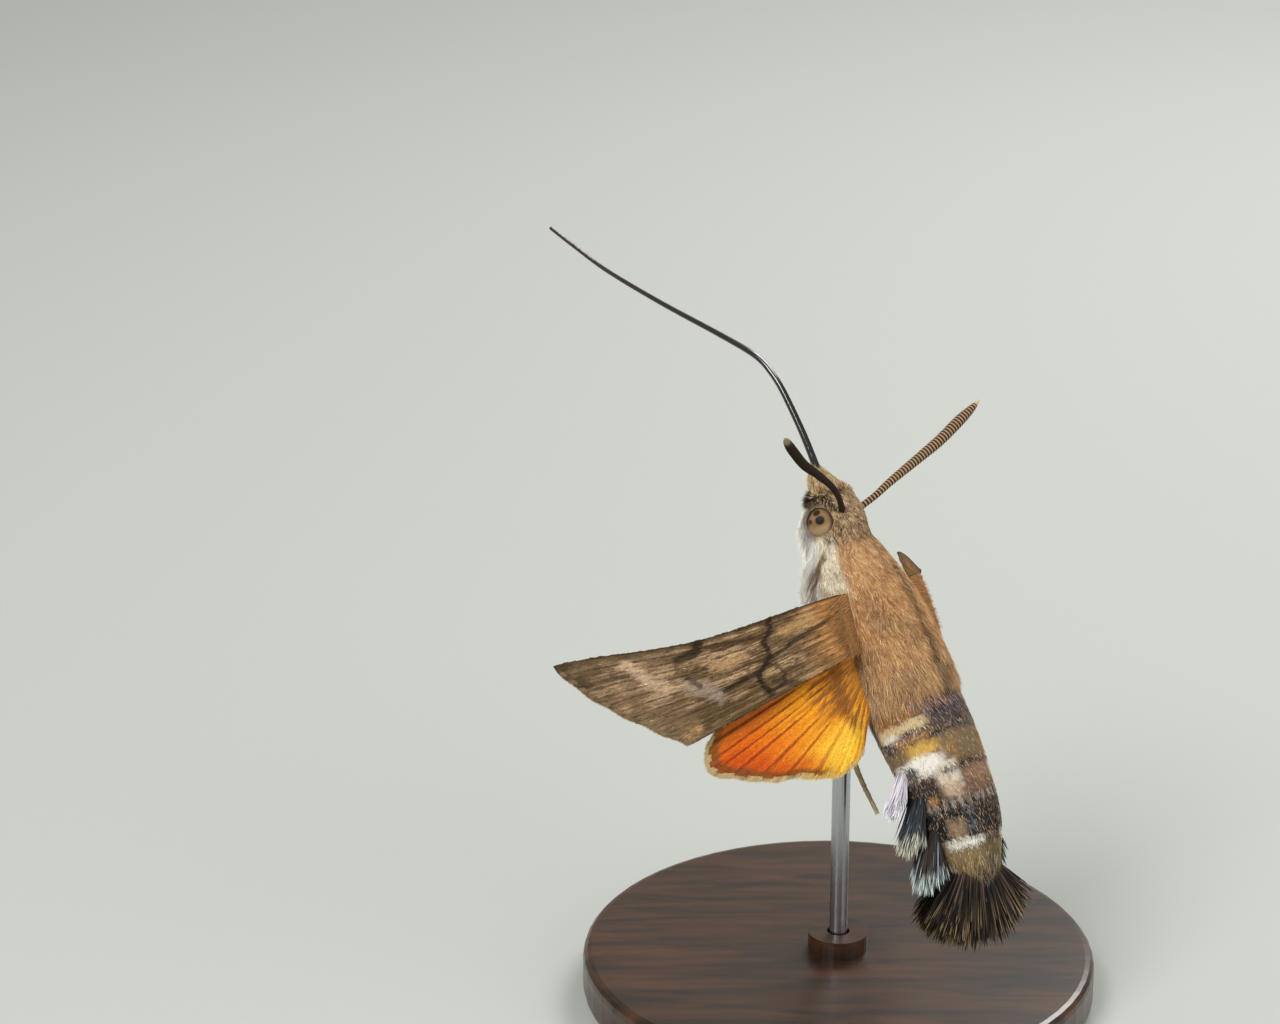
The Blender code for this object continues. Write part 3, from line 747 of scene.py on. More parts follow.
@dataclass
class Body:
    """Head, thorax and abdomen as one skin along a bent spine, and the lie of the coat on it.

    Attributes:
        inset: Depth of the skin below the solids, so that the hairs end near them.
        shade: Factor on the colours of the skin under its hairs.
        rows: Sections along the spine of the fine grid.
        columns: Points round each section of the fine grid.
        blur: Rows on either side over which the sections are smoothed.
        head: Forward place, height, half width and half height of each section down to the waist.
        bends: Angle of the abdomen's spine by arc length.
        radii: Plain radius of the abdomen by arc length.
        start: Forward place and height of the abdomen's start.
        length: Arc length of the abdomen.
    """

    inset: float = 0.18
    shade: float = 0.72
    rows: int = 420
    columns: int = 144
    blur: int = 9
    head: tuple = (
        (10.98, -1.26, 0.20, 0.14), (10.80, -1.26, 0.42, 0.30), (10.45, -1.24, 0.72, 0.52),
        (10.00, -1.18, 1.00, 0.80), (9.55, -1.08, 1.30, 1.06), (9.10, -1.00, 1.46, 1.38),
        (8.40, -1.00, 1.74, 1.82), (7.50, -1.06, 2.08, 2.16), (6.60, -1.07, 2.12, 2.20),
        (5.90, -1.05, 2.06, 2.10), (5.45, -1.02, 2.12, 2.10), (5.10, -1.01, 2.40, 2.28),
        (4.40, -0.97, 2.75, 2.53), (3.20, -0.85, 3.17, 2.91), (1.60, -0.52, 3.42, 3.15),
        (0.00, -0.20, 3.57, 3.28), (-2.00, 0.06, 3.68, 3.38), (-3.80, 0.30, 3.61, 3.32),
        (-4.75, 0.41, 3.56, 3.24),
    )
    bends: tuple = ((0.0, -1.0), (1.6, -9.5), (4.0, -8.0), (6.0, -3.0), (8.0, 0.0), (10.0, 5.0), (11.6, 10.0))
    radii: tuple = (
        (0.0, 3.20), (2.0, 3.30), (4.0, 3.20), (6.0, 3.02), (8.0, 2.90), (9.0, 2.75), (10.0, 2.50),
        (11.2, 2.10), (11.6, 1.85),
    )
    start: tuple = (-5.27, 0.46)
    length: float = 11.6

    def __post_init__(self) -> None:
        """Lay out the spine and the fine grid."""
        places = np.sort([place for place, _ in self.radii] + [0.5, 1.0, 3.0, 5.0, 7.0])
        stations = [(*section, 0.0, 0.0) for section in self.head]
        for place in places:
            y, z, bend = self.spine(place)
            radius = np.interp(place, *zip(*self.radii))
            stations.append((y, z, radius * BELLY_WIDE, radius * BELLY_TALL, bend, max(place, 0.001)))
        table = np.array(stations)
        steps = np.concatenate([[0.0], np.cumsum(np.hypot(np.diff(table[:, 0]), np.diff(table[:, 1])))])
        along = np.linspace(0.0, steps[-1], self.rows)
        dense = np.stack([np.interp(along, steps, column) for column in table.T], axis=1)
        kernel = np.hanning(2 * self.blur + 1)
        kernel /= kernel.sum()
        for k in range(5):
            padded = np.pad(dense[:, k], self.blur, mode="reflect", reflect_type="odd")
            dense[:, k] = np.convolve(padded, kernel, mode="valid")
        self.forward, self.height, wide, tall, self.bend, self.arc = dense.T
        self.angle = circle(self.columns)
        self.points = self.surface(*(np.maximum(size - self.inset, 0.04) for size in (wide, tall)))
        back = np.gradient(self.points, axis=0)
        side = np.roll(self.points, -1, axis=1) - np.roll(self.points, 1, axis=1)
        self.back = unit(back)
        self.normal = unit(np.cross(back, side))
        outward = self.points - self.points.mean(axis=1, keepdims=True)
        if np.sum(self.normal * outward, axis=-1).mean() < 0.0:
            self.normal = -self.normal

    def spine(self, arc: float) -> tuple[float, float, float]:
        """Forward place, height and bend of the abdomen's spine at an arc length.

        Args:
            arc: Arc length along the abdomen.

        Returns:
            The three values.
        """
        places = (np.arange(24) + 0.5) * arc / 24
        turn = np.radians(np.interp(places, *zip(*self.bends)))
        y = self.start[0] - np.sum(np.cos(turn)) * arc / 24
        z = self.start[1] - np.sum(np.sin(turn)) * arc / 24
        return y, z, float(np.interp(arc, *zip(*self.bends)))

    def frame(self, arc: float) -> tuple[Rows, Rows, Rows, float]:
        """Centre, backward and upward directions and plain radius of the abdomen at an arc length.

        Args:
            arc: Arc length along the abdomen.

        Returns:
            The centre, both directions and the radius.
        """
        y, z, bend = self.spine(arc)
        turn = radians(bend)
        radius = float(np.interp(arc, *zip(*self.radii)))
        return np.array([0.0, y, z]), *slope(turn), radius

    def surface(self, wide: Rows, tall: Rows) -> Rows:
        """Grid of points round the spine, angle 0 at the back and a quarter turn at the right side.

        Args:
            wide: Half width of each section.
            tall: Half height of each section.

        Returns:
            Points by row and column.
        """
        turn = np.radians(self.bend)[:, None]
        x = np.sin(self.angle)[None, :] * wide[:, None]
        up = np.cos(self.angle)[None, :] * tall[:, None]
        y = self.forward[:, None] - up * np.sin(turn)
        return np.stack([x, y, self.height[:, None] + up * np.cos(turn)], axis=-1)

    def read(self, row: Rows, column: Rows, grid: Rows) -> Rows:
        """Value of a grid at fractional rows and columns.

        Args:
            row: Rows.
            column: Columns.
            grid: Grid of values or of points.

        Returns:
            One value a place.
        """
        i = np.clip(row.astype(int), 0, self.rows - 2)
        j = column.astype(int) % self.columns
        u, v = (row - i), (column - np.floor(column))
        if grid.ndim == 1:
            return grid[i] * (1 - u) + grid[i + 1] * u
        u, v = u[:, None], v[:, None]
        k = (j + 1) % self.columns
        low = grid[i, j] * (1 - v) + grid[i, k] * v
        high = grid[i + 1, j] * (1 - v) + grid[i + 1, k] * v
        return low * (1 - u) + high * u

    def skin(self) -> Piece:
        """The skin itself, coloured by the body's markings."""
        rows = np.arange(0, self.rows, 2)
        columns = np.arange(0, self.columns, 2)
        points = self.points[np.ix_(rows, columns)].reshape(-1, 3)
        i, j = (index.reshape(-1) for index in np.meshgrid(rows, columns, indexing="ij"))
        tints = MARKINGS.body(points, self.forward[i], self.arc[i], self.angle[j]) * self.shade
        return closed_piece("body_skin", points, len(columns), tints)


@dataclass(frozen=True)
class Markings:
    """Colours of the body as functions of place, in linear values.

    Attributes:
        folded_leg: Line of the leg on the side of the thorax, as forward places and degrees.
        leg_edge: Second line of the same leg.
        brow: Line over the eye.
        back: Colours along the back of the abdomen by arc length.
    """

    folded_leg: tuple = ((4.9, 90.0), (4.1, 124.0), (3.3, 136.0))
    leg_edge: tuple = ((4.5, 100.0), (3.7, 112.0), (2.6, 122.0))
    brow: tuple = ((8.8, 104.0), (8.45, 74.0), (8.2, 54.0), (7.6, 42.0))
    back: tuple = (
        (0.0, "#8A6A55"), (0.5, "#6A5048"), (0.9, "#4C3E44"), (2.5, "#524444"), (3.0, "#6E5A45"),
        (3.4, "#7E6A4E"), (4.9, "#7F6A50"), (5.5, "#94765C"), (6.8, "#8B6C55"), (7.4, "#3A2A22"),
        (9.2, "#2C211C"), (9.9, "#5E4C36"), (10.4, "#7D6B47"), (11.2, "#54462F"), (11.6, "#2A221A"),
    )

    def body(self, points: Rows, forward: Rows, arc: Rows, angle: Rows) -> Rows:
        """Colour of the skin and of the coat at places on the body.

        Args:
            points: Places in the animal's frame.
            forward: Forward place of the section.
            arc: Arc length along the abdomen, or 0 ahead of it.
            angle: Angle round the body, 0 at the back.

        Returns:
            Linear colours.
        """
        turn = half_turn(angle)
        x, y, z = points.T
        cloud = value_noise(y * 1.1, angle * 2.2, 3)
        speck = value_noise(y * 6.0, x * 6.0 + z * 5.0, 5)
        return paint(
            self.thorax(x, forward, turn, cloud, speck),
            (self.head(points, forward, turn, speck), rise(forward, 5.9, 6.5)),
            (self.abdomen(arc, angle, turn, speck, cloud), (arc > 0.01).astype(float)),
        )

    def thorax(
        self, x: Rows, forward: Rows, turn: Rows, cloud: Rows, speck: Rows
    ) -> Rows:
        """Colour of the thorax: golden tan above, cream at the sides, white below.

        Args:
            x: Places across the body.
            forward: Forward places of the sections.
            turn: Degrees from the middle of the back.
            cloud: Coarse random field.
            speck: Fine random field.

        Returns:
            Linear colours.
        """
        middle = np.interp(forward, (-3.0, -1.0, 0.5, 2.0, 4.0), (-0.2, 0.0, 0.2, 0.5, 0.9))
        stripe = bell(x - middle, 0.0, 0.80) * rise(turn, 50.0, 30.0) * rise(forward, 4.2, 3.0)
        # The side is cream with grey-brown streaks, and carries the outline of the folded leg
        cream = mix("#F4E8CE", "#A89478", rise(cloud * 0.4 + speck * 0.6, 0.50, 0.70) * 0.7)
        white = mix("#FFFDF6", "#E2D8C4", rise(speck, 0.45, 0.75) * 0.5)
        lines = (self.folded_leg, self.leg_edge)
        leg, edge = (rise(self.gap(forward, turn, line), 7.0, 3.0) for line in lines)
        return paint(
            "#BE8A57",
            ("#C29465", rise(forward, 1.5, 4.5)),
            ("#B28E66", rise(forward, -1.0, -4.5) * 0.75),
            ("#76543A", rise(cloud, 0.42, 0.85) * 0.55),
            # Light golden specks: partly paler hairs, partly painted glints on the hair
            ("#E2B67F", rise(speck, 0.55, 0.80) * 0.55),
            ("#8A5F3C", rise(speck, 0.40, 0.20) * 0.50),
            ("#3E2817", stripe * (0.45 + 0.55 * speck)),
            (cream, rise(turn, 58.0, 72.0) * rise(forward, 1.6, 3.0)),
            (white, rise(turn, 100.0, 112.0) * rise(forward, -1.5, 1.0)),
            ("#6B4A2C", leg * 0.8),
            ("#6B4A2C", edge * 0.8),
            ("#BFA785", rise(turn, 88.0, 115.0) * rise(forward, 1.0, -1.5) * 0.8),
            self.collar(forward, turn, speck, 5.95, 1.15),
        )

    def gap(self, forward: Rows, turn: Rows, line: tuple[tuple[float, float], ...]) -> Rows:
        """Distance in degrees to a line, with a millimetre forward counted as LINE_SCALE degrees."""
        path = tuple((place * LINE_SCALE, angle) for place, angle in line)
        return line_distance(forward * LINE_SCALE, turn, path)

    def collar(
        self, forward: Rows, turn: Rows, speck: Rows, place: float, width: float
    ) -> tuple[str, Rows]:
        """Layer of the dark speckled band between head and thorax."""
        band = bell(forward, place, width) * rise(turn, 92.0, 66.0)
        return "#33271D", band * (0.25 + 0.70 * rise(speck, 0.38, 0.58))

    def brush(self, forward: Rows, turn: Rows, reach: float) -> Rows:
        """Share of the dark brush below and ahead of the eye."""
        return rise(np.hypot((forward - 8.70) / 0.36, (turn - 108.0) / 19.0), reach, 0.8)

    def head(self, points: Rows, forward: Rows, turn: Rows, speck: Rows) -> Rows:
        """Colour of the head: speckled crown, brown snout, white cheek and the dark brow line.

        Args:
            points: Places in the animal's frame.
            forward: Forward places of the sections.
            turn: Degrees from the middle of the back.
            speck: Fine random field.

        Returns:
            Linear colours.
        """
        x, y, z = points.T
        grain = value_noise(y * 9.0, x * 9.0 - z * 4.0, 23)
        outer, ahead, down = EYE_CENTRE
        socket = np.sqrt((np.abs(x) - outer) ** 2 + (y - ahead) ** 2 + (z - down) ** 2)
        white = mix("#FFFDF6", "#DDD0B8", rise(speck, 0.45, 0.75) * 0.5)
        spot = np.hypot((forward - 8.45) / 0.30, (turn - 62.0) / 9.0)
        return paint(
            "#A3805A",
            ("#C7AC86", rise(grain, 0.50, 0.75) * 0.8),
            ("#4A3727", rise(grain, 0.42, 0.22) * 0.7),
            (mix("#8E7250", "#B99C72", speck), rise(forward, 8.6, 9.4) * 0.85),
            self.collar(forward, turn, speck, 6.1, 1.0),
            (white, rise(turn, 100.0, 114.0) * rise(forward, 9.9, 8.9)),
            ("#BBA483", rise(turn, 100.0, 130.0) * rise(forward, 8.9, 9.6) * 0.7),
            ("#4A3726", rise(socket, 1.55, 1.30) * rise(turn, 70.0, 90.0) * 0.75),
            ("#17120E", self.brush(forward, turn, 1.15) * 0.95),
            ("#241A13", rise(self.gap(forward, turn, self.brow), 5.5, 2.5) * 0.9),
            ("#201711", rise(spot, 1.2, 0.8) * 0.9),
        )

    def abdomen(
        self, arc: Rows, angle: Rows, turn: Rows, speck: Rows, cloud: Rows
    ) -> Rows:
        """Colour of the abdomen.

        Args:
            arc: Arc length along the abdomen.
            angle: Angle round the body.
            turn: Same angle without its side, in degrees.
            speck: Fine random field.
            cloud: Coarse random field.

        Returns:
            Linear colours.
        """
        stops, codes = zip(*self.back)
        linear = np.array([srgb(code) for code in codes])
        base = np.stack([np.interp(arc, stops, linear[:, k]) for k in range(3)], axis=1)
        # Pink specks on the back, near the front and in the middle of the abdomen, are painted glints on the
        # scales
        pink_glint_reach = bell(arc, 0.45, 0.9) + 0.6 * bell(arc, 6.2, 1.6)
        pink_glint = rise(speck, 0.62, 0.78) * pink_glint_reach * rise(turn, 50.0, 30.0)
        # Golden specks high on the sides are painted glints on the scales
        gold_glint = rise(turn, 10.0, 24.0) * rise(turn, 48.0, 30.0) * rise(speck, 0.5, 0.75) * bell(arc, 4.2, 2.0)
        tone = paint(
            base,
            ("#231A18", rise(cloud, 0.5, 0.9) * 0.35),
            ("#D9A592", np.clip(pink_glint, 0.0, 1.0) * 0.8),
            ("#C98A4A", gold_glint * 0.7),
        )
        # Side patches, and the black flank behind them
        side = rise(turn, 34.0, 50.0) * rise(turn, 124.0, 108.0)
        rough = 0.55 * (speck - 0.5) + 0.35 * (cloud - 0.5)
        marks = (
            ("#A9743F", 0.9, 1.7, side, 0.80),
            ("#E6CF9E", 1.90, 0.95, side, 0.80),
            ("#EFE2D8", 2.25, 0.50, rise(turn, 76.0, 88.0) * rise(turn, 112.0, 102.0), 0.85),
            ("#A87B4C", 2.75, 0.42, side, 0.85),
            ("#DDB052", 3.60, 1.15, side * rise(turn, 88.0, 74.0), 0.85),
            ("#FBF6EA", 4.62, 1.55, side, 0.97),
            ("#EDDFCB", 5.45, 1.70, rise(turn, 24.0, 34.0) * rise(turn, 66.0, 54.0), 0.92),
            ("#CDB79A", 6.40, 1.50, rise(turn, 30.0, 38.0) * rise(turn, 58.0, 50.0), 0.75),
            ("#2A2523", 6.10, 2.30, rise(turn, 54.0, 64.0), 0.90),
            ("#1D1918", 8.00, 2.80, rise(turn, 34.0, 46.0), 0.85),
            ("#A58A6E", 8.75, 1.20, rise(turn, 38.0, 48.0) * rise(turn, 74.0, 62.0), 0.75),
            ("#C08A4C", 6.85, 0.70, rise(turn, 66.0, 72.0) * rise(turn, 84.0, 78.0), 0.85),
            ("#F2EFE2", 9.70, 0.60, rise(turn, 14.0, 24.0) * rise(turn, 84.0, 74.0), 0.95),
            ("#9A835C", 10.50, 1.20, rise(turn, 14.0, 30.0), 0.70),
        )
        for code, place, width, reach, share in marks:
            tone = mix(tone, code, rise(bell(arc, place, width) + rough, 0.35, 0.65) * reach * share)
        spots = ((4.75, 0.45, 92.0, 13.0, 0.9), (2.75, 0.35, 104.0, 12.0, 0.85))
        for place, width, centre, height, share in spots:
            spot = np.hypot((arc - place) / width, (turn - centre) / height)
            tone = mix(tone, "#1C1614", rise(spot, 1.15, 0.85) * share)
        for place, low in ((0.25, 60.0), (2.90, 56.0), (5.20, 60.0), (7.20, 130.0)):
            edge = bell(arc, place + 0.05 * np.sin(angle * 7.0), 0.40) * rise(turn, low, low - 14.0)
            tone = mix(tone, "#1E1613", edge * rise(speck, 0.05, 0.30) * 0.97)
        # Pale ticks along the dark band at 7.25 are painted glints on its scales
        band_glints = bell(arc, 7.25, 0.5) * rise(np.abs(np.sin(angle * 16.0)), 0.75, 0.95)
        sides = rise(turn, 14.0, 24.0) * rise(turn, 44.0, 34.0)
        glint = sides * rise(speck, 0.60, 0.75) * bell(arc, 8.8, 2.2)
        under = mix("#B7A68C", "#6F6154", rise(arc, 3.0, 9.0))
        return paint(
            tone,
            ("#C9C2B8", band_glints * 0.7),
            ("#7E93A8", glint * 0.6),
            (under, rise(turn, 125.0, 150.0) * 0.85),
        )


MARKINGS = Markings()


@dataclass
class Coat:
    """Short hair-scales over the body, laid backwards, in several pieces.

    Attributes:
        body: The body they grow on.
        count: Number of hairs over the whole body.
        piece_limit: Most hairs in one piece.
        seed: Seed of the random draws.
        fringes: Arc lengths at which a segment's hairs stand off over the next one.
        quick_step: Only every one of so many hairs would be kept in a quick build; not used.
    """

    body: Body
    count: int = 190000
    piece_limit: int = 42000
    seed: int = 7
    fringes: tuple = (2.70, 5.10, 7.10, 9.50)
    quick_step: int = 4

    def roots(self, rng: Random, count: int, weight: Rows) -> tuple[Rows, Rows]:
        """Random grid places with a density that follows the surface area and a weight.

        Args:
            rng: Random generator.
            count: Number of places.
            weight: Wanted density of each grid cell.

        Returns:
            Fractional rows and columns.
        """
        points = self.body.points
        down = points[1:] - points[:-1]
        side = np.roll(points, -1, axis=1) - points
        area = np.linalg.norm(np.cross(down, side[:-1]), axis=-1) * weight
        chance = np.cumsum(area.reshape(-1))
        picks = np.searchsorted(chance, rng.random(count) * chance[-1])
        picks = np.minimum(picks, area.size - 1)
        row, column = np.divmod(picks, self.body.columns)
        return row + rng.random(count), column + rng.random(count)

    def grow(self) -> Blades:
        """All hairs of the body as one group of blades."""
        body = self.body
        rng = np.random.default_rng(self.seed)
        row, column = self.roots(rng, self.count, np.where(body.forward[:-1, None] > 5.6, 1.9, 1.0))
        grids = (body.points, body.normal, body.back, body.forward, body.arc)
        root, normal, back, forward, arc = (body.read(row, column, grid) for grid in grids)
        normal, back = unit(normal), unit(back)
        angle = column / body.columns * 2.0 * pi
        turn = half_turn(angle)
        colours = MARKINGS.body(root, forward, arc, angle)
        count = len(root)
        tail = arc > 0.01
        # Length, lift and width by region
        length = 0.46 + 0.16 * rise(forward, 4.0, 1.0) + 0.45 * rise(forward, -1.5, -4.5)
        length = np.where(tail, 0.85 - 0.45 * rise(arc, 0.4, 1.4) + 1.00 * rise(arc, 10.2, 11.4), length)
        length = np.where(forward > 6.3, 0.36 + 0.12 * rise(forward, 9.0, 10.2), length)
        throat = rise(turn, 98.0, 116.0) * rise(forward, -1.0, 1.0)
        snout = rise(forward, 8.3, 9.2)
        brush = MARKINGS.brush(forward, turn, 1.1)
        fluff = rng.uniform(0.45, 1.15, count) * throat * (1.0 - snout) * rise(forward, 8.3, 7.0)
        length = length + fluff + 0.10 * brush
        lift = 0.26 + 0.08 * rise(forward, 4.5, 6.0) + 0.30 * throat * (1.0 - snout)
        lift = lift + 0.20 * brush - 0.12 * tail + rng.normal(0.0, 0.09, count)
        for place in self.fringes:
            fringe = bell(arc, place, 0.4)
            lift = lift + 0.16 * fringe
            length = length - 0.08 * fringe
        length = length * rng.uniform(0.65, 1.25, count)
        width = rng.uniform(0.036, 0.070, count) * np.where(tail, 1.35, 1.0)
        width = width * np.where(forward > 5.5, 1.25, 1.0)
        # Locks lie backwards, and forwards on the snout, and lean together
        wander = (value_noise(forward * 1.7 + arc * -1.7, angle * 5.5, 21) - 0.5) * 0.9
        stray = wander + rng.normal(0.0, 0.20, count)
        lie = back * (1.0 - 2.0 * snout)[:, None]
        ahead = lie * np.cos(lift)[:, None] + normal * np.sin(lift)[:, None]
        ahead = ahead + np.cross(normal, back) * stray[:, None]
        # Hairs by the eye are short, but those over its upper rim reach a little across it
        gaps = [(root - Eye(side).middle()) / EYE_SIZE for side in (LEFT, RIGHT)]
        near = np.min(np.linalg.norm(gaps, axis=-1), axis=0)
        rim = rise(turn, 72.0, 60.0)
        length = np.where(near < 1.35, np.minimum(length, 0.18 + 0.16 * rim + 0.5 * (near - 1.0)), length)
        tints = self.tints(rng, colours, forward, arc, turn)
        uv = MAP_EDGE + MAP_SPAN * np.stack([row / body.rows, column / body.columns], axis=1)
        droop = np.full(count, 0.1)
        group = Blades(root - normal * 0.04, ahead, normal, length, width, droop, strands(tints, 0.62), uv)
        return group.take(near > 1.0)

    def tints(
        self, rng: Random, colours: Rows, forward: Rows, arc: Rows, turn: Rows
    ) -> Rows:
        """Own tint of each hair, with odd dark, pale and glinting hairs for the grain of the coat.

        Args:
            rng: Random generator.
            colours: Colour of the body under each hair.
            forward: Forward place of each hair.
            arc: Arc length of each hair along the abdomen.
            turn: Degrees of each hair from the middle of the back.

        Returns:
            Linear colours.
        """
        shade = vary(rng, 0.24, len(colours))
        odd = rng.random(len(colours))
        grainy = rise(forward, 5.2, 5.6) * rise(turn, 104.0, 92.0)
        brown = (arc > 0.2) & (odd > 0.64) & (odd < 0.78)
        glint = (odd > 0.5) & (odd < 0.64) & (arc > 0.3) & (colours.sum(axis=1) < 0.35)
        dark = (odd < 0.15 + 0.10 * grainy) * rise(turn, 112.0, 100.0)
        return shade * paint(
            colours,
            ("#EBD3A8", (0.42 + 0.15 * grainy) * (odd > 0.78 - 0.10 * grainy)),
            ("#8C6A4A", 0.60 * brown),
            (np.where((odd < 0.57)[:, None], srgb("#9DB2CC"), srgb("#D3AFA4")), 0.55 * glint),
            ("#3E2A1B", (0.50 + 0.20 * grainy) * dark),
        )

    def build(self, material: Material) -> None:
        """Grow the coat and split it into pieces.

        Args:
            material: Material of what is built.
        """
        group = self.grow()
        order = np.argsort(group.uv[:, 0], kind="stable")
        pieces = int(np.ceil(len(order) / self.piece_limit))
        for index, chosen in enumerate(np.array_split(order, pieces)):
            dress(group.take(chosen).build(f"body_coat_{index + 1}", *SINGLE), material, "brown_scales")


@dataclass
class Eye:
    """One compound eye with its dark false pupils.

    Attributes:
        side: Side of the head.
        rows: Rings from pole to pole.
        columns: Points in a ring.
        facing: Where the right eye's false pupils face, with the right and upward directions there.
    """

    side: float
    rows: int = 72
    columns: int = 96
    facing: tuple = ((0.763, -0.087, 0.641), (-0.6333, -0.2996, 0.7137), (-0.1297, 0.9501, 0.2838))

    def middle(self) -> Rows:
        """Centre of the eye."""
        return np.array([self.side * EYE_CENTRE[0], *EYE_CENTRE[1:]])

    def build(self, material: Material) -> Piece:
        """Build and dress the eye.

        Args:
            material: Material of what is built.

        Returns:
            The eye.
        """
        p, t = np.meshgrid(np.linspace(0.02, pi - 0.02, self.rows), circle(self.columns), indexing="ij")
        balls = np.stack([np.cos(p), np.sin(p) * np.cos(t), np.sin(p) * np.sin(t)], axis=-1).reshape(-1, 3)
        view, right, up = (np.array(row) * [self.side, 1.0, 1.0] for row in self.facing)
        lean = rise(balls @ (up * 0.65 - right * 0.76), 0.30, 0.62)
        tone = paint(
            "#8E7150",
            ("#765A3C", value_noise(balls[:, 1] * 3.0, balls[:, 2] * 3.0, 9)),
            ("#A98F6A", rise(balls[:, 1], -0.05, -0.55) * 0.8),
            ("#3A2819", rise(balls[:, 0] * self.side, 0.62, 0.30)),
            ("#1F140C", rise(balls @ view, 0.62, 0.36) * lean),
        )
        for direction, radius, colour in (
            (view - right * 0.26 + up * 0.10, 0.30, "#0C0806"),
            (view * 0.75 - right * 0.47 + up * 0.60, 0.24, "#2A1B10"),
            (view * 0.6 - right * 0.80 - up * 0.02, 0.16, "#3A2716"),
        ):
            gap = np.arccos(np.clip(balls @ unit(direction), -1.0, 1.0))
            halo = rise(gap, radius * 1.6, radius) * 0.5
            tone = paint(tone, ("#7A5630", halo), (colour, rise(gap, radius * 1.12, radius * 0.8)))
        name = side_word(self.side)
        piece = closed_piece("eye_surface_" + name, balls * EYE_SIZE + self.middle(), self.columns, tone)
        return dress(piece, material, "eye_surface", "eye_" + name)


@dataclass
class Antenna:
    """Ringed feeler that thickens into a club and ends in a fine hook.

    Attributes:
        side: Side of the head.
        rings: Count of rings.
        samples: Points between two bends.
        sides: Points round the feeler.
        thin: Factor on the radius, which leaves room for the rings.
        right_bends: Place and radius at each bend of the right feeler.
        left_bends: Same for the left feeler.
    """

    side: float
    rings: int = 50
    samples: int = 80
    sides: int = 14
    thin: float = 0.92
    right_bends: tuple = (
        (0.95, 7.10, 0.20, 0.25), (1.00, 7.30, 0.50, 0.25), (1.92, 7.77, 1.32, 0.25),
        (2.98, 8.33, 1.92, 0.29), (5.22, 9.36, 3.19, 0.36), (6.72, 10.07, 4.05, 0.40),
        (8.29, 10.98, 4.94, 0.40), (9.24, 11.52, 5.48, 0.26), (9.82, 11.90, 5.78, 0.07),
    )
    left_bends: tuple = (
        (-0.95, 7.10, 0.20, 0.24), (-1.00, 7.30, 0.50, 0.23), (-1.79, 7.90, 1.20, 0.21),
        (-3.07, 8.71, 1.95, 0.23), (-5.06, 9.62, 2.64, 0.29), (-6.83, 10.34, 3.18, 0.33),
        (-8.62, 11.28, 4.01, 0.34), (-9.45, 11.75, 4.45, 0.26), (-9.74, 11.93, 4.62, 0.10),
    )

    def build(self, material: Material) -> Piece:
        """Build and dress the feeler.

        Args:
            material: Material of what is built.

        Returns:
            The feeler.
        """
        left = self.side < 0
        dense = spline(np.array(self.left_bends if left else self.right_bends), self.samples)
        path = dense[:, :3]
        arc = arc_lengths(path)
        share = arc / arc[-1]
        phase = share * self.rings
        saw = phase - np.floor(phase)
        radius = np.maximum(dense[:, 3] * self.thin, 0.05) * (0.88 + 0.16 * saw)
        # The left feeler's darker rings and fainter pale tip are painted shade; both feelers have the same
        # colours
        light, dark = ("#4E3A29", "#1A110B") if left else ("#A88A68", "#38291E")
        tone = paint(
            light,
            (dark, rise(np.abs(saw - 0.5), 0.10, 0.24)),
            ("#C7AE84", rise(share, 0.05, 0.0) * 0.7),
            ("#CDB98E", rise(share, 0.95, 0.98) * (0.3 if left else 0.8)),
        )
        name = side_word(self.side)
        piece = tube_piece("antenna_ringed_" + name, path, radius, self.sides, tone)
        return dress(piece, material, "dark_scales", "antenna_" + name)


@dataclass
class Proboscis:
    """Long sucking tube of two half tubes joined along a groove."""

    bends: tuple = (
        (9.60, -1.05), (12.30, -1.26), (13.90, -1.46), (16.20, -1.86), (17.60, -2.32), (18.60, -2.86),
        (19.60, -3.76), (21.49, -5.79), (24.61, -9.24), (28.00, -12.72), (30.54, -14.90), (32.40, -16.40),
    )
    root_radius: float = 0.26
    tip_radius: float = 0.12
    sides: int = 24
    ring_pitch: float = 0.16

    def build(self, material: Material) -> Piece:
        """Build and dress the tube.

        Args:
            material: Material of what is built.

        Returns:
            The tube.
        """
        path = spline(np.array([(0.0, y, z) for y, z in self.bends]), self.sides)
        arc = arc_lengths(path)
        share = arc / arc[-1]
        radius = self.root_radius + (self.tip_radius - self.root_radius) * share ** 0.8
        groove = 1.0 - 0.22 * np.exp(-((np.abs(np.sin(circle(self.sides))) - 1.0) / 0.06) ** 2)
        fine = 1.0 + 0.015 * np.sin(arc * 2.0 * pi / self.ring_pitch)
        tone = mix("#15120F", "#2B2017", rise(share, 0.3, 1.0))
        piece = tube_piece("proboscis_tube", path, radius * fine, self.sides, tone, groove)
        return dress(piece, material, "black_horn", "proboscis_near", "proboscis_far")


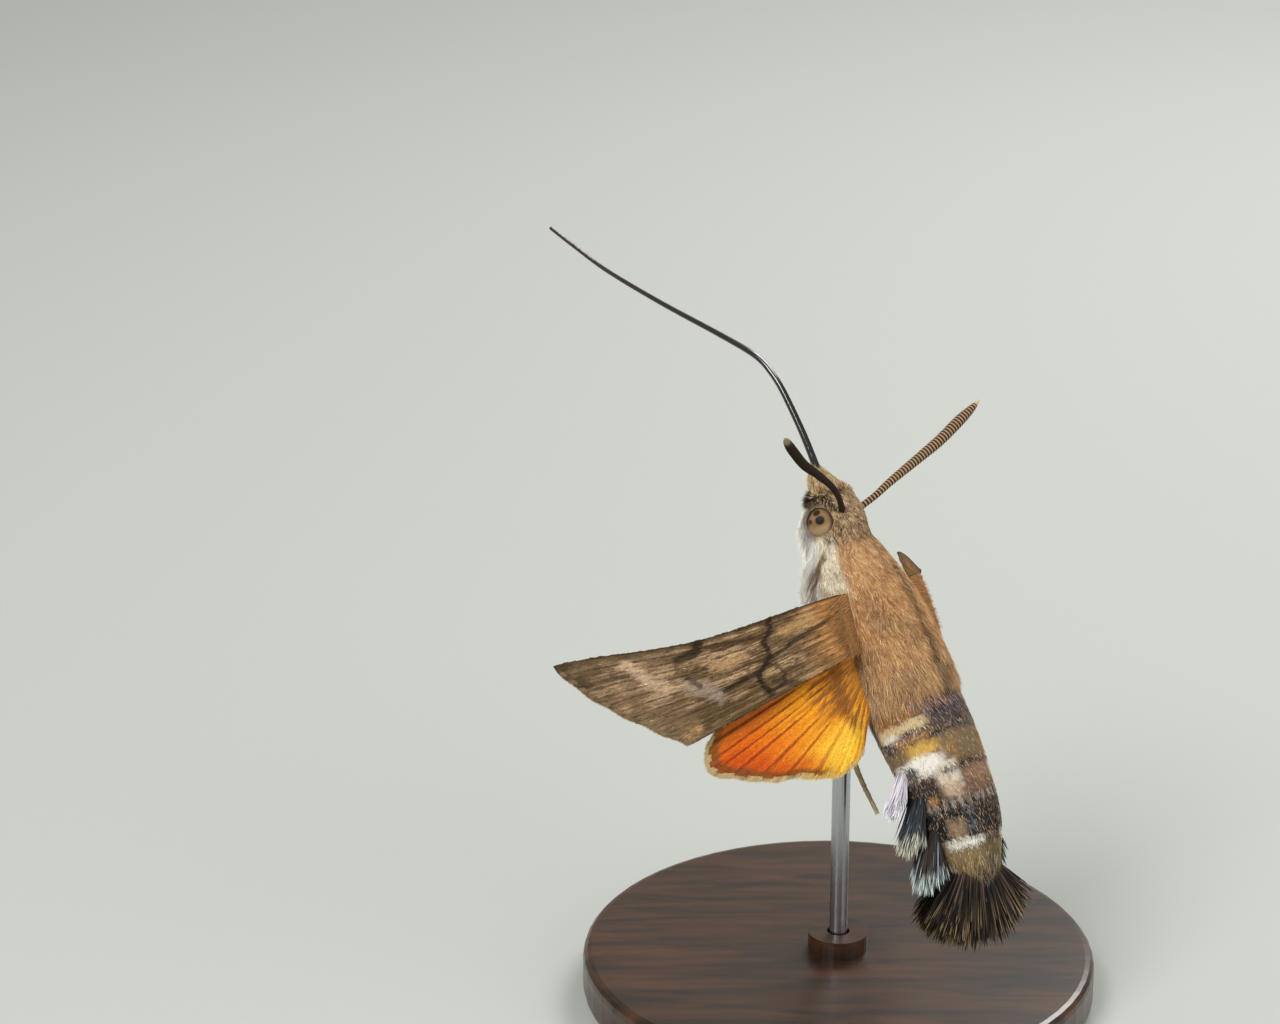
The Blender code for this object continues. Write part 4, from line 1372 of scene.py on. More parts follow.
@dataclass
class Leg:
    """Slender jointed leg folded under the body, with close scales and fine spurs.

    Attributes:
        name: Pair that the leg belongs to.
        side: Side of the body.
        bends: Place and radius at each bend of the right leg.
        thin: Factor on the radius, which leaves room for the scales.
        foot: Share of the length at which the five joints of the foot begin.
        count: Number of scales.
        seed: Seed of the random draws.
    """

    name: str
    side: float
    bends: tuple
    thin: float = 0.62
    foot: float = 0.72
    count: int = 1500
    seed: int = 41

    def build(self, material: Material) -> None:
        """Build the leg and its scales.

        Args:
            material: Material of what is built.
        """
        dense = spline(np.array(self.bends), 16)
        dense[:, 0] *= self.side
        path, radius = dense[:, :3], dense[:, 3] * self.thin
        share = np.linspace(0.0, 1.0, len(path))
        knots = np.clip((share - self.foot) / (1.0 - self.foot), 0.0, 1.0) * 5.0
        joint = np.exp(-(((knots - np.round(knots)) / 0.12) ** 2)) * (share > self.foot)
        radius = radius * (1.0 - 0.22 * rise(share, 0.5, 1.0)) * (1.0 - 0.18 * joint)
        thigh, start, end = ("#F4EEE0", 0.7, 1.0) if self.name == "fore" else ("#DDD0B8", 0.0, 0.5)
        tone = mix(thigh, mix("#C7B28C", "#8B7452", joint), rise(share, start, end))
        label = f"{self.name}_{side_word(self.side)}"
        piece = tube_piece("leg_skin_" + label, path, radius, 14, tone)
        dress(piece, material, "pale_scales", "leg_" + label)
        scales = self.scales(path, radius, share, tone)
        dress(scales.build("leg_coat_" + label, *SINGLE), material, "pale_scales")

    def scales(self, path: Rows, radius: Rows, share: Rows, tone: Rows) -> Blades:
        """Scales that lie along the leg, longer on the thigh, with a few spurs on the foot.

        Args:
            path: Points along the leg.
            radius: Radius at each point.
            share: Share of the length at each point.
            tone: Colour at each point.

        Returns:
            The scales as blades.
        """
        rng = np.random.default_rng(self.seed + len(self.name) * 3 + int(self.side))
        count = self.count
        place = rng.random(count) * (len(path) - 1.001)
        index = place.astype(int)
        ahead = unit(np.gradient(path, axis=0))[index]
        turn = rng.random(count) * 2.0 * pi
        across = unit(np.cross(ahead, np.array([0.3, 0.1, 1.0])))
        out = across * np.cos(turn)[:, None] + np.cross(across, ahead) * np.sin(turn)[:, None]
        centre = path[index] + (path[index + 1] - path[index]) * (place - index)[:, None]
        tint = tone[index] * vary(rng, 0.14, count)
        early = 1.0 - rise(share[index], 0.25, 0.6)
        direction = ahead + out * (0.22 + 0.25 * early)[:, None] + rng.normal(0.0, 0.08, (count, 3))
        spur = (rng.random(count) > 0.985) & (share[index] > 0.5)
        length = np.where(spur, 0.55, rng.uniform(0.16, 0.30, count) + 0.35 * early)
        uv = MAP_EDGE + MAP_SPAN * np.stack([place / len(path), turn / (2.0 * pi)], axis=1)
        return Blades(
            centre + out * (radius[index] * 0.92)[:, None], direction, out, length,
            rng.uniform(0.04, 0.07, count), rng.uniform(0.0, 0.1, count), strands(tint, 0.65), uv,
        )


@dataclass(frozen=True)
class WingForm:
    """What differs between the two wings of a side.

    Attributes:
        title: Name of the wing in the names of pieces.
        slot: Material slot.
        root: Place of the right wing's root.
        hinge: Span and chord places of the plate's front and back corners at the root.
        dive: How far the root dips into the fur of the thorax.
        veins: Count of veins across the fan.
        folds: Half waves of the plate across the fan.
        scales: Number of scales on the upper side.
        fringe: Number of hairs along the margin.
        fringe_length: Their mean length.
        fringe_tones: Their light and dark colours.
        root_hairs: Number of hairs at the root.
        root_tones: Their warm and brown colours.
        grain: Spread of the scales' tints.
    """

    title: str
    slot: str
    root: tuple
    hinge: tuple
    dive: float
    veins: float
    folds: float
    scales: int
    fringe: int
    fringe_length: float
    fringe_tones: tuple
    root_hairs: int
    root_tones: tuple
    grain: float


class WingKind(Enum):
    """The two wings of a side."""

    FORE = WingForm(
        title="forewing", slot="grey_brown_wing", root=(3.20, 1.20, 1.60), hinge=(-1.1, -0.95, -0.9, 2.40),
        dive=1.5, veins=FORE_VEINS, folds=24.0, scales=24000, grain=0.26,
        fringe=2600, fringe_length=0.40, fringe_tones=("#8A7252", "#4E3E2A"),
        root_hairs=3600, root_tones=("#BE8A57", "#7A5836"),
    )
    HIND = WingForm(
        title="hindwing", slot="orange_wing", root=(3.30, -1.80, 0.34), hinge=(-1.1, -1.05, -0.3, 2.25),
        dive=0.6, veins=HIND_VEINS, folds=20.0, scales=13000, grain=0.18,
        fringe=2400, fringe_length=0.55, fringe_tones=("#C4B184", "#8A6238"),
        root_hairs=2600, root_tones=("#C98440", "#7C5126"),
    )


@dataclass(frozen=True)
class WingMarkings:
    """Colours of the wings by span and chord place in millimetres.

    Attributes:
        postmedian: Path of the broad dark band beyond the middle of the forewing.
        pale_marks: Colour, half width and path of each pale mark of the forewing.
        dark_marks: Half width, depth and path of each dark line, from the band before the middle outwards.
    """

    postmedian: tuple = ((11.52, -0.05), (11.73, 0.68), (12.25, 0.88), (13.15, 1.00), (13.37, 1.59))
    pale_marks: tuple = (
        ("#C4A887", 0.50, ((16.40, 0.44), (15.60, 1.08))), ("#BDA283", 0.50, ((15.42, 1.63), (14.04, 2.59))),
        ("#9C8878", 0.70, ((12.71, 2.57), (10.99, 3.60))), ("#B08D60", 0.60, ((13.48, 5.57), (12.80, 5.30))),
        ("#B8946A", 0.45, ((8.70, 1.60), (11.00, 1.75))), ("#B08A5C", 0.45, ((5.90, 0.60), (3.80, 0.10))),
    )
    dark_marks: tuple = (
        (0.24, 0.95, (
            (6.58, -0.46), (6.69, 0.36), (7.09, 0.79), (7.37, 1.06), (7.17, 1.55), (7.16, 2.01),
            (7.62, 2.42), (8.06, 2.78), (8.19, 3.26), (7.98, 3.75), (7.63, 4.22),
        )),
        (0.15, 0.75, ((7.62, 2.42), (6.95, 2.50), (6.44, 3.13), (6.64, 3.86), (7.58, 4.03))),
        (0.20, 0.80, ((7.70, 2.21), (6.42, 1.84), (5.23, 1.32), (3.31, 0.75), (1.87, 0.20))),
        (0.20, 0.85, ((8.29, 2.85), (9.51, 3.10), (10.61, 3.43))),
        (0.17, 0.60, ((7.46, 0.65), (8.81, 0.61), (11.47, 0.48), (12.53, 0.69))),
        (0.24, 0.70, ((12.71, 2.06), (12.10, 2.77))),
        (0.20, 0.65, ((19.51, 1.18), (18.20, 1.11), (16.26, 1.12))),
        (0.30, 0.55, ((7.22, 3.47), (5.65, 4.07))),
    )

    def forewing_top(self, span: Rows, chord: Rows, share: Rows, reach: Rows) -> Rows:
        """Colour of the forewing's upper side.

        Args:
            span: Place along the wing.
            chord: Place behind its front edge line.
            share: Place across the fan of veins, from 0 in front to 1 behind.
            reach: Place from the root at 0 to the margin at 1.

        Returns:
            Linear colours.
        """
        streak = value_noise(span * 0.50, share * 30.0, 2)
        fleck = value_noise(span * 2.6, share * 70.0, 4)
        wave = value_noise(span * 1.1, chord * 1.3, 6)
        tone = paint(
            "#6E563A",
            ("#AE906C", rise(streak, 0.30, 0.75)),
            ("#3E2E1F", rise(fleck, 0.50, 0.80) * 0.70),
            ("#BC8142", rise(span, 5.6, 2.0) * (0.35 + 0.6 * streak)),
            ("#5C482E", rise(chord, 3.2, 4.6) * rise(span, 17.5, 14.0) * 0.75),
            ("#9C8266", rise(span, 12.0, 15.0) * rise(span, 18.5, 16.5) * 0.45),
            ("#5C472E", rise(wave, 0.55, 0.85) * 0.50),
            ("#43392A", rise(span, 16.6, 20.0) * (0.60 + 0.35 * wave)),
            ("#3C2C1B", rise(share, 0.050, 0.0) * 0.9),
            ("#3E2E1F", rise(self.vein(share), 0.0100, 0.003) * 0.70),
        )
        for code, width, path in self.pale_marks:
            gap = line_distance(span, chord, path) + 0.30 * (fleck - 0.5)
            tone = mix(tone, code, rise(gap, width, width * 0.3) * 0.70)
        for width, depth, path in self.dark_marks:
            gap = line_distance(span, chord, path) + 0.10 * (fleck - 0.5)
            tone = mix(tone, "#2A1E13", rise(gap, width, width * 0.45) * depth)
        wide = np.interp(chord, (0.0, 0.7, 1.2), (0.50, 0.42, 0.20))
        band = line_distance(span, chord, self.postmedian) / wide
        return paint(
            tone,
            ("#2C2015", rise(band, 1.0, 0.55) * np.interp(chord, (0.7, 1.6), (0.9, 0.5))),
            ("#6B563C", bell(reach, 0.93, 0.06) * 0.5),
            ("#4A3A26", rise(reach, 0.965, 1.0) * 0.6),
        )

    def vein(self, share: Rows, count: float = FORE_VEINS) -> Rows:
        """Distance across the fan to the nearest of its evenly spaced veins."""
        return np.abs((share * count - np.round(share * count)) / count)

    def forewing_under(self, span: Rows, chord: Rows, share: Rows, reach: Rows) -> Rows:
        """Colour of the forewing's underside."""
        return paint(
            "#A8763E",
            ("#8E6236", value_noise(span * 0.6, share * 20.0, 12)),
            ("#6A4A2A", rise(reach, 0.75, 1.0) * 0.7),
            ("#5A4128", rise(self.vein(share), 0.0075, 0.002) * 0.5),
            ("#C88A3C", rise(span, 6.0, 2.0) * rise(share, 0.4, 0.8) * 0.7),
        )

    def hindwing_top(self, span: Rows, chord: Rows, share: Rows, reach: Rows) -> Rows:
        """Colour of the hindwing's upper side.

        Args:
            span: Places along the wing.
            chord: Places behind its front edge line.
            share: Places across the fan, from 0 in front to 1 behind.
            reach: Places from the root at 0 to the margin at 1.

        Returns:
            Linear colours.
        """
        streak = value_noise(reach * 4.0, share * 44.0, 8)
        broad = value_noise(span * 0.8, chord * 0.8, 10)
        yellow = bell(share, 0.80, 0.30) * rise(reach, 0.22, 0.50)
        red = rise(reach, 0.74, 0.90) * rise(share, 0.80, 0.62) * rise(share, 0.10, 0.30)
        ribs = rise(self.vein(share, HIND_VEINS), 0.014, 0.004) * rise(reach, 0.35, 0.60)
        return paint(
            "#E78C18",
            ("#F6AC28", streak),
            ("#FACB42", yellow * 0.95),
            ("#DC6412", rise(share, 0.66, 0.40) * rise(reach, 0.45, 0.80) * 0.90),
            ("#C4420E", red * (0.60 + 0.35 * streak)),
            ("#A85A22", rise(share, 0.22, 0.06) * rise(reach, 0.30, 0.60) * 0.75),
            ("#A94D16", rise(streak, 0.62, 0.95) * 0.50),
            ("#7A2E10", ribs * (0.85 - 0.55 * yellow)),
            ("#A06A38", rise(reach, 0.36, 0.10) * (0.55 + 0.4 * streak)),
            ("#6A3E1E", rise(reach, 0.920, 0.950) * rise(share, 0.80, 0.72) * 0.80),
            ("#C98F3A", broad * 0.10),
        )

    def hindwing_under(self, span: Rows, chord: Rows, share: Rows, reach: Rows) -> Rows:
        """Colour of the hindwing's underside."""
        return paint(
            "#C98532",
            ("#B4722C", value_noise(reach * 4.0, share * 30.0, 14)),
            ("#E0B04C", rise(share, 0.65, 0.9) * 0.8),
            ("#7A5230", rise(reach, 0.80, 0.98) * 0.8),
            ("#6E4A2A", rise(self.vein(share, HIND_VEINS), 0.010, 0.003) * 0.5),
        )


WING_MARKINGS = WingMarkings()


@dataclass
class Wing:
    """One wing as a thin veined plate with scales, a fringe and hair at its root.

    Attributes:
        kind: Forewing or hindwing.
        side: Side of the body.
        drop: Degrees by which the span falls outwards.
        sweep: Degrees by which it leans forward.
        rays: Points across the fan of veins.
        steps: Points from root to margin.
        thickness: Thickness of the plate.
        seed: Seed of the random draws.
        fore_ends: Span and chord places of the forewing's tip and hind corner.
        hind_outline: Span and chord places round the hindwing's margin.
    """

    kind: WingKind
    side: float
    drop: float
    sweep: float
    rays: int = 97
    steps: int = 101
    thickness: float = 0.15
    seed: int = 61
    fore_ends: tuple = ((20.80, -0.50), (13.65, 6.15))
    hind_outline: tuple = (
        (10.90, 2.60), (11.50, 3.35), (11.80, 4.30), (11.65, 4.95), (11.00, 5.35), (9.60, 5.82),
        (8.00, 6.30), (6.40, 6.42), (4.60, 6.75), (3.30, 6.85), (2.15, 6.40), (1.30, 5.70),
    )

    def __post_init__(self) -> None:
        """Work out the wing's own axes and the grid of its middle surface."""
        self.fore = self.kind is WingKind.FORE
        self.form = self.kind.value
        drop, sweep = radians(self.drop), radians(self.sweep)
        self.span = np.array([self.side * cos(drop) * cos(sweep), sin(sweep), -sin(drop) * cos(sweep)])
        chord = np.array([0.0, -1.0, 0.0])
        self.chord = unit(chord - self.span * (chord @ self.span))
        face = np.cross(self.span, self.chord)
        self.face = face if face[2] > 0.0 else -face
        root = self.form.root
        self.origin = np.array([self.side * root[0], *root[1:]])
        self.offset = root[1] - WingKind.FORE.value.root[1]
        grid = np.meshgrid(np.linspace(0, 1, self.rays), np.linspace(0, 1, self.steps), indexing="ij")
        self.share, self.reach = grid
        self.place, self.back = self.plan(*grid)

    def margin(self, share: Rows) -> tuple[Rows, Rows]:
        """Outer margin of the wing, as span and chord places for each share of the fan.

        Args:
            share: Places across the fan, from 0 in front to 1 behind.

        Returns:
            Span and chord places.
        """
        if self.fore:
            (tip_x, tip_y), (end_x, end_y) = self.fore_ends
            dx, dy = end_x - tip_x, end_y - tip_y
            size = np.hypot(dx, dy)
            bow = 0.58 * np.sin(pi * share ** 0.75) + 0.045 * np.sin(share * 8.0 * pi)
            return tip_x + dx * share + bow * dy / size, tip_y + dy * share - bow * dx / size
        outline = spline(np.array(self.hind_outline), 16)
        numbers = np.arange(len(outline))
        x, y = (np.interp(share * numbers[-1], numbers, column) for column in outline.T)
        return x, y + 0.05 * np.sin(share * 18.0 * pi) * np.sin(pi * share)

    def plan(self, share: Rows, reach: Rows) -> tuple[Rows, Rows]:
        """Span and chord place of points of the fan.

        Args:
            share: Places across the fan, from 0 in front to 1 behind.
            reach: Places from the root at 0 to the margin at 1.

        Returns:
            Span and chord places.
        """
        ax, ay, bx, by = self.form.hinge
        end_x, end_y = self.margin(share)
        start_x, start_y = ax + (bx - ax) * share, ay + (by - ay) * share
        wave = np.sin(pi * np.clip(reach, 0.0, 1.0) ** 1.25)
        bow = 0.70 * wave ** 2 * (1.0 - share) if self.fore else 0.0
        return start_x + (end_x - start_x) * reach, start_y + (end_y - start_y) * reach + bow

    def lift(self, place: Rows, back: Rows) -> Rows:
        """Points of the cambered middle surface, whose root dives into the fur of the thorax.

        Args:
            place: Span places.
            back: Chord places.

        Returns:
            Points.
        """
        camber = 0.55 * np.sin(pi * np.clip(place / 21.0, 0.0, 1.0))
        high = camber - 0.010 * (back - self.offset - 3.0) ** 2 - self.form.dive * rise(place, 2.1, 0.1)
        flat = self.origin + place[..., None] * self.span + back[..., None] * self.chord
        return flat + high[..., None] * self.face

    def ribs(self, share: Rows, reach: Rows) -> Rows:
        """Height of the veins over the membrane.

        Args:
            share: Places across the fan, from 0 in front to 1 behind.
            reach: Places from the root at 0 to the margin at 1.

        Returns:
            One height a place.
        """
        vein = np.exp(-((WING_MARKINGS.vein(share, self.form.veins) / 0.010) ** 2)) * 0.045
        edge = np.exp(-((share / 0.03) ** 2)) * 0.10 if self.fore else 0.0
        fold = 0.05 * np.sin(share * self.form.folds * pi) * rise(reach, 0.1, 0.6)
        return vein * rise(reach, 1.0, 0.9) + edge + fold

    def half(self, reach: Rows) -> Rows:
        """Half the plate's thickness, which thins towards the margin."""
        return self.thickness * 0.5 * (1.0 - 0.5 * rise(reach, 0.8, 1.0))

    def colour(self, upper: bool, *places: Rows) -> Rows:
        """Colour of one face of this wing at span and chord places, shares and reaches."""
        if self.fore:
            painter = WING_MARKINGS.forewing_top if upper else WING_MARKINGS.forewing_under
        else:
            painter = WING_MARKINGS.hindwing_top if upper else WING_MARKINGS.hindwing_under
        return painter(*(values.reshape(-1) for values in places))

    def build(self, surface: Material, coat: Material) -> None:
        """Build the plate, its scales, fringe and root hair.

        Args:
            surface: Material of the plate.
            coat: Material of the blades.
        """
        middle = self.lift(self.place, self.back)
        ribs, thin = self.ribs(self.share, self.reach), self.half(self.reach)
        upper = middle + self.face * (thin + ribs)[..., None]
        lower = middle - self.face * (thin - ribs * 0.6)[..., None]
        rays, steps = self.rays, self.steps
        count = rays * steps
        quads = grid_faces(rays, steps, False)
        rim = np.concatenate([
            np.arange(steps), np.arange(1, rays) * steps + steps - 1,
            (rays - 1) * steps + np.arange(steps - 2, -1, -1), np.arange(rays - 2, 0, -1) * steps,
        ])
        after = np.roll(rim, -1)
        wall = np.stack([rim, after, after + count, rim + count], axis=1)
        if self.side > 0:
            faces = [quads[:, ::-1], quads + count, wall[:, ::-1]]
        else:
            faces = [quads, quads[:, ::-1] + count, wall]
        points = np.vstack([upper.reshape(-1, 3), lower.reshape(-1, 3)])
        places = (self.place, self.back, self.share, self.reach)
        tints = np.vstack([self.colour(face, *places) for face in (True, False)])
        title, slot, word = self.form.title, self.form.slot, side_word(self.side)
        dress(mesh_piece(f"{title}_plate_{word}", points, faces, tints), surface, slot, f"{title}_{word}")
        cover = join_blades([self.scales(True), self.scales(False)])
        dress(cover.build(f"{title}_scales_{word}", *SINGLE), coat, slot)
        edging = join_blades([self.fringe(), self.root_hair()])
        dress(edging.build(f"{title}_fringe_{word}", *SINGLE), coat, slot)

    def sample(self, share: Rows, reach: Rows) -> tuple[Rows, Rows, Rows, Rows]:
        """Point, outward direction along the fan, span and chord at places of the fan.

        Args:
            share: Places across the fan, from 0 in front to 1 behind.
            reach: Places from the root at 0 to the margin at 1.

        Returns:
            All four, for each place.
        """
        place, back = self.plan(share, reach)
        here = self.lift(place, back)
        return here, unit(self.lift(*self.plan(share, reach + 0.01)) - here), place, back

    def on_map(self, reach: Rows, share: Rows) -> Rows:
        """Places on the bake map, in the half of the underside and of the edging."""
        return np.stack([MAP_EDGE + MAP_SPAN * reach, MAP_EDGE + HALF_MAP * share], axis=1)

    def scales(self, upper: bool) -> Blades:
        """Flat scales over one face, laid from root to margin.

        Args:
            upper: Whether it is the upper face.

        Returns:
            The scales as blades.
        """
        count = self.form.scales if upper else self.form.scales // 3
        rng = np.random.default_rng(self.seed + 2 * int(upper) + int(self.fore) + int(self.side) * 7)
        # The fan widens outwards, so places are drawn with the density of its area
        reach = np.sqrt(rng.random(count) * 0.94 + 0.06) * 0.985
        share = rng.random(count)
        here, ahead, place, back = self.sample(share, reach)
        sign, ridge = (1.0, 1.0) if upper else (-1.0, 0.6)
        up = np.broadcast_to(self.face * sign, here.shape)
        high = self.half(reach) + sign * self.ribs(share, reach) * ridge
        tint = self.colour(upper, place, back, share, reach) * vary(rng, self.form.grain, count)
        raised = ahead + up * rng.uniform(0.06, 0.20, count)[:, None]
        direction = raised + self.chord * rng.normal(0.0, 0.12, count)[:, None]
        uv = self.on_map(reach, share) + [0.0, 0.5 if upper else 0.0]
        return Blades(
            here + up * (high - 0.03)[:, None], direction, up, rng.uniform(0.20, 0.36, count),
            rng.uniform(0.08, 0.14, count), np.full(count, 0.05), strands(tint, 0.85), uv,
        )

    def fringe(self) -> Blades:
        """Hair-scales along the outer margin."""
        count = self.form.fringe
        rng = np.random.default_rng(self.seed + 11 + int(self.fore) + int(self.side) * 5)
        share = rng.random(count)
        reach = np.full(count, 0.985)
        here, ahead = self.sample(share, reach)[:2]
        up = np.broadcast_to(self.face, here.shape)
        light, dark = self.form.fringe_tones
        tint = mix(light, dark, rise(value_noise(share * 40.0, share * 3.0, 17), 0.5, 0.9) * 0.6)
        if not self.fore:
            tint = mix(tint, "#E2B64A", bell(share, 0.80, 0.26) * 0.85)
        tint = tint * vary(rng, 0.15, count)
        length = self.form.fringe_length * rng.uniform(0.75, 1.15, count)
        length = length * (0.55 + 0.45 * rise(share, 0.0, 0.12))
        tones = strands(tint, 1.0, 1.2)
        tones[:, 0] = mix(tint, dark, np.full(count, 0.5))
        uv = np.stack([reach, MAP_EDGE + HALF_MAP * share], axis=1)
        side = rng.normal(0.0, 0.10, (count, 3))
        return Blades(
            here + up * rng.uniform(-0.04, 0.04, count)[:, None], ahead + side, up, length,
            rng.uniform(0.05, 0.09, count), np.zeros(count), tones, uv,
        )

    def root_hair(self) -> Blades:
        """Long hair over the root, streaming outwards and back."""
        count = self.form.root_hairs
        rng = np.random.default_rng(self.seed + 23 + int(self.fore) + int(self.side) * 3)
        share = rng.random(count)
        if self.fore:
            share = share ** 0.7
            reach = rng.uniform(0.03, 0.14, count) + 0.05 * rng.random(count) ** 2
            longest, above = 1.2, 0.90
        else:
            reach = rng.uniform(0.03, 0.36, count)
            longest, above = 2.1, 0.75
        here, ahead, place = self.sample(share, reach)[:3]
        if self.fore:
            # They spring from the fur of the thorax, above the dive of the plate
            here = here + self.face * (0.30 * rise(place, 2.1, 0.1))[:, None]
        up = self.face * np.where(rng.random(count) < above, 1.0, -1.0)[:, None]
        tint = mix(*self.form.root_tones, rng.random(count) * 0.9) * vary(rng, 0.12, count)
        swept = ahead + self.chord * (0.20 + rng.normal(0.0, 0.10, count))[:, None]
        direction = swept + up * rng.uniform(0.05, 0.16, count)[:, None]
        uv = self.on_map(reach, share)
        return Blades(
            here + up * 0.05, direction, up, rng.uniform(0.35, longest, count),
            rng.uniform(0.05, 0.09, count), rng.uniform(0.04, 0.10, count), strands(tint, 0.7), uv,
        )


class TuftColour(Enum):
    """Colours of a side tuft at its root, middle and tips."""

    PALE = ("#A89E9E", "#CDC6CE", "#E6E2EA")
    BLACK_CREAM = ("#17171A", "#2E3034", "#E0DCC8")
    BLACK_WHITE = ("#1A1614", "#3A302A", "#D1E2DC")


@dataclass
class SideTuft:
    """Flat brush of long scales on one side of the abdomen.

    Attributes:
        body: Body that it grows on.
        side: Side of the abdomen.
        number: Number of the tuft, counted from the front.
        place: Arc length of its root along the abdomen.
        length: Length of its longest scales.
        lean: How far it leans outwards.
        dip: How far it leans down.
        colour: Its colours.
        count: Number of scales.
        seed: Seed of the random draws.
    """

    body: Body
    side: float
    number: int
    place: float
    length: float
    lean: float
    dip: float
    colour: TuftColour
    count: int = 800
    seed: int = 91

    def build(self, coat: Material) -> None:
        """Build and dress the tuft.

        Args:
            coat: Material of the blades.
        """
        rng = np.random.default_rng(self.seed + self.number * 5 + int(self.side))
        count = self.count
        centre, back, up, radius = self.body.frame(self.place)
        share = rng.random(count)
        spot = 0.05 - 0.58 * share
        edge = np.sqrt(1.0 - spot ** 2)
        across = np.array([self.side, 0.0, 0.0])
        shift = rng.normal(0.0, 0.34, count)
        spot = spot if self.number > 1 else spot * 0.6 - 0.18
        roots = (
            centre + across * (radius * BELLY_WIDE * edge - 0.25)[:, None]
            + up * (radius * BELLY_TALL * spot)[:, None] + back * (shift * 0.5 + 0.1)[:, None]
        )
        splay = rng.normal(0.0, 0.07, (count, 3))
        direction = (
            back + across * (self.lean + 0.14 * np.sin(pi * share) + rng.normal(0.0, 0.10, count))[:, None]
            - up * (self.dip - 0.10 + 0.20 * share)[:, None] + splay
        )
        outward = across * edge[:, None] + up * spot[:, None]
        full = rng.uniform(0.60, 1.0, count)
        reach = self.length * (0.82 + 0.18 * np.sin(pi * share)) * full
        root, middle, tip = (srgb(code) for code in self.colour.value)
        shade = vary(rng, 0.16, count)
        last = mix(tip, middle, 0.9 * (full < 0.80))
        # A tenth of the scales get a bluish middle, painted glints on the scales
        blue_glint = mix(middle, "#8FA3B8", 0.55 * (rng.random(count) < 0.10))
        tones = np.clip(np.stack([root * shade, blue_glint * shade, last * shade], axis=1), 0.0, 1.0)
        uv = np.stack([np.full(count, self.place / 12.0) + shift * 0.01, 0.3 + 0.2 * share], axis=1)
        group = Blades(
            roots, direction, outward, reach, rng.uniform(0.10, 0.19, count), rng.uniform(-0.04, 0.10, count),
            tones, uv, 0.74,
        )
        name = f"tuft_{side_word(self.side)}_{self.number}"
        slot = "pale_scales" if self.number == 1 else "dark_scales"
        piece = group.build("brush_" + name, (0.0, 0.35, 0.74, 0.88), (0.6, 1.0, 0.8, 0.55))
        dress(piece, coat, slot, name)


@dataclass
class TailFan:
    """Broad brush of long flat scales behind the abdomen.

    Attributes:
        body: Body that it grows on.
        bend: Degrees by which it dips.
        count: Number of scales.
        seed: Seed of the random draws.
    """

    body: Body
    bend: float = 24.0
    count: int = 6800
    seed: int = 101

    def build(self, coat: Material) -> None:
        """Build and dress the fan.

        Args:
            coat: Material of the blades.
        """
        rng = np.random.default_rng(self.seed)
        centre = self.body.frame(self.body.length)[0]
        back, up = slope(radians(self.bend))
        across = np.array([1.0, 0.0, 0.0])
        count = self.count
        height = rng.uniform(-1.0, 1.0, count)
        share = rng.uniform(-1.0, 1.0, count)
        spread = np.radians(np.interp(np.abs(height), (0.0, 1.0), (55.0, 48.0)))
        reach = np.interp(height, (-1.0, 0.0, 1.0), (4.1, 4.7, 4.3))
        angle, lift = spread * share, np.radians(18.0) * height
        direction = (
            back * np.cos(angle)[:, None] + across * np.sin(angle)[:, None] + up * np.sin(lift)[:, None]
            + rng.normal(0.0, 0.035, (count, 3))
        )
        roots = (
            centre + back * rng.uniform(-0.45, 0.75, count)[:, None] + across * (1.80 * share)[:, None]
            + up * (height * 1.15 * (1.0 - 0.45 * share ** 2))[:, None]
        )
        flat = up[None, :] * np.sign(height + 0.01)[:, None] + across * (0.35 * share)[:, None]
        length = reach * (1.0 - 0.10 * share ** 2) * rng.uniform(0.62, 1.02, count)
        shade = vary(rng, 0.22, count)
        brown = rng.random(count)
        root = mix("#3A302A", "#6A5848", 0.8 * (brown > 0.7))
        middle = mix("#211B18", "#4C4038", 0.7 * (brown > 0.75))
        tip = mix("#2A231D", "#A58C66", 0.8 * (rng.random(count) > 0.70))
        tones = np.clip(np.stack([root * shade, middle * shade, tip * shade], axis=1), 0.0, 1.0)
        uv = np.stack([0.5 + HALF_MAP * share, 0.5 + HALF_MAP * height], axis=1)
        group = Blades(
            roots, direction, flat, length, rng.uniform(0.09, 0.19, count), rng.uniform(-0.02, 0.06, count),
            tones, uv, 0.75,
        )
        dress(group.build("tail_brush", (0.0, 0.45, 0.88), (0.6, 1.0, 0.7)), coat, "dark_scales", "tail_fan")


@dataclass
class Stand:
    """Turned base and steel rod, shown as the solids with their own finishes."""

    nodes: dict

    def dress(self) -> None:
        """Give the solids their materials."""
        for name, finish in (("stand_base", LacqueredWood()), ("stand_rod", PolishedSteel())):
            node = self.nodes[name]
            node.data.materials.clear()
            node.data.materials.append(finish.material())
            LOG.info("%s dressed", name)


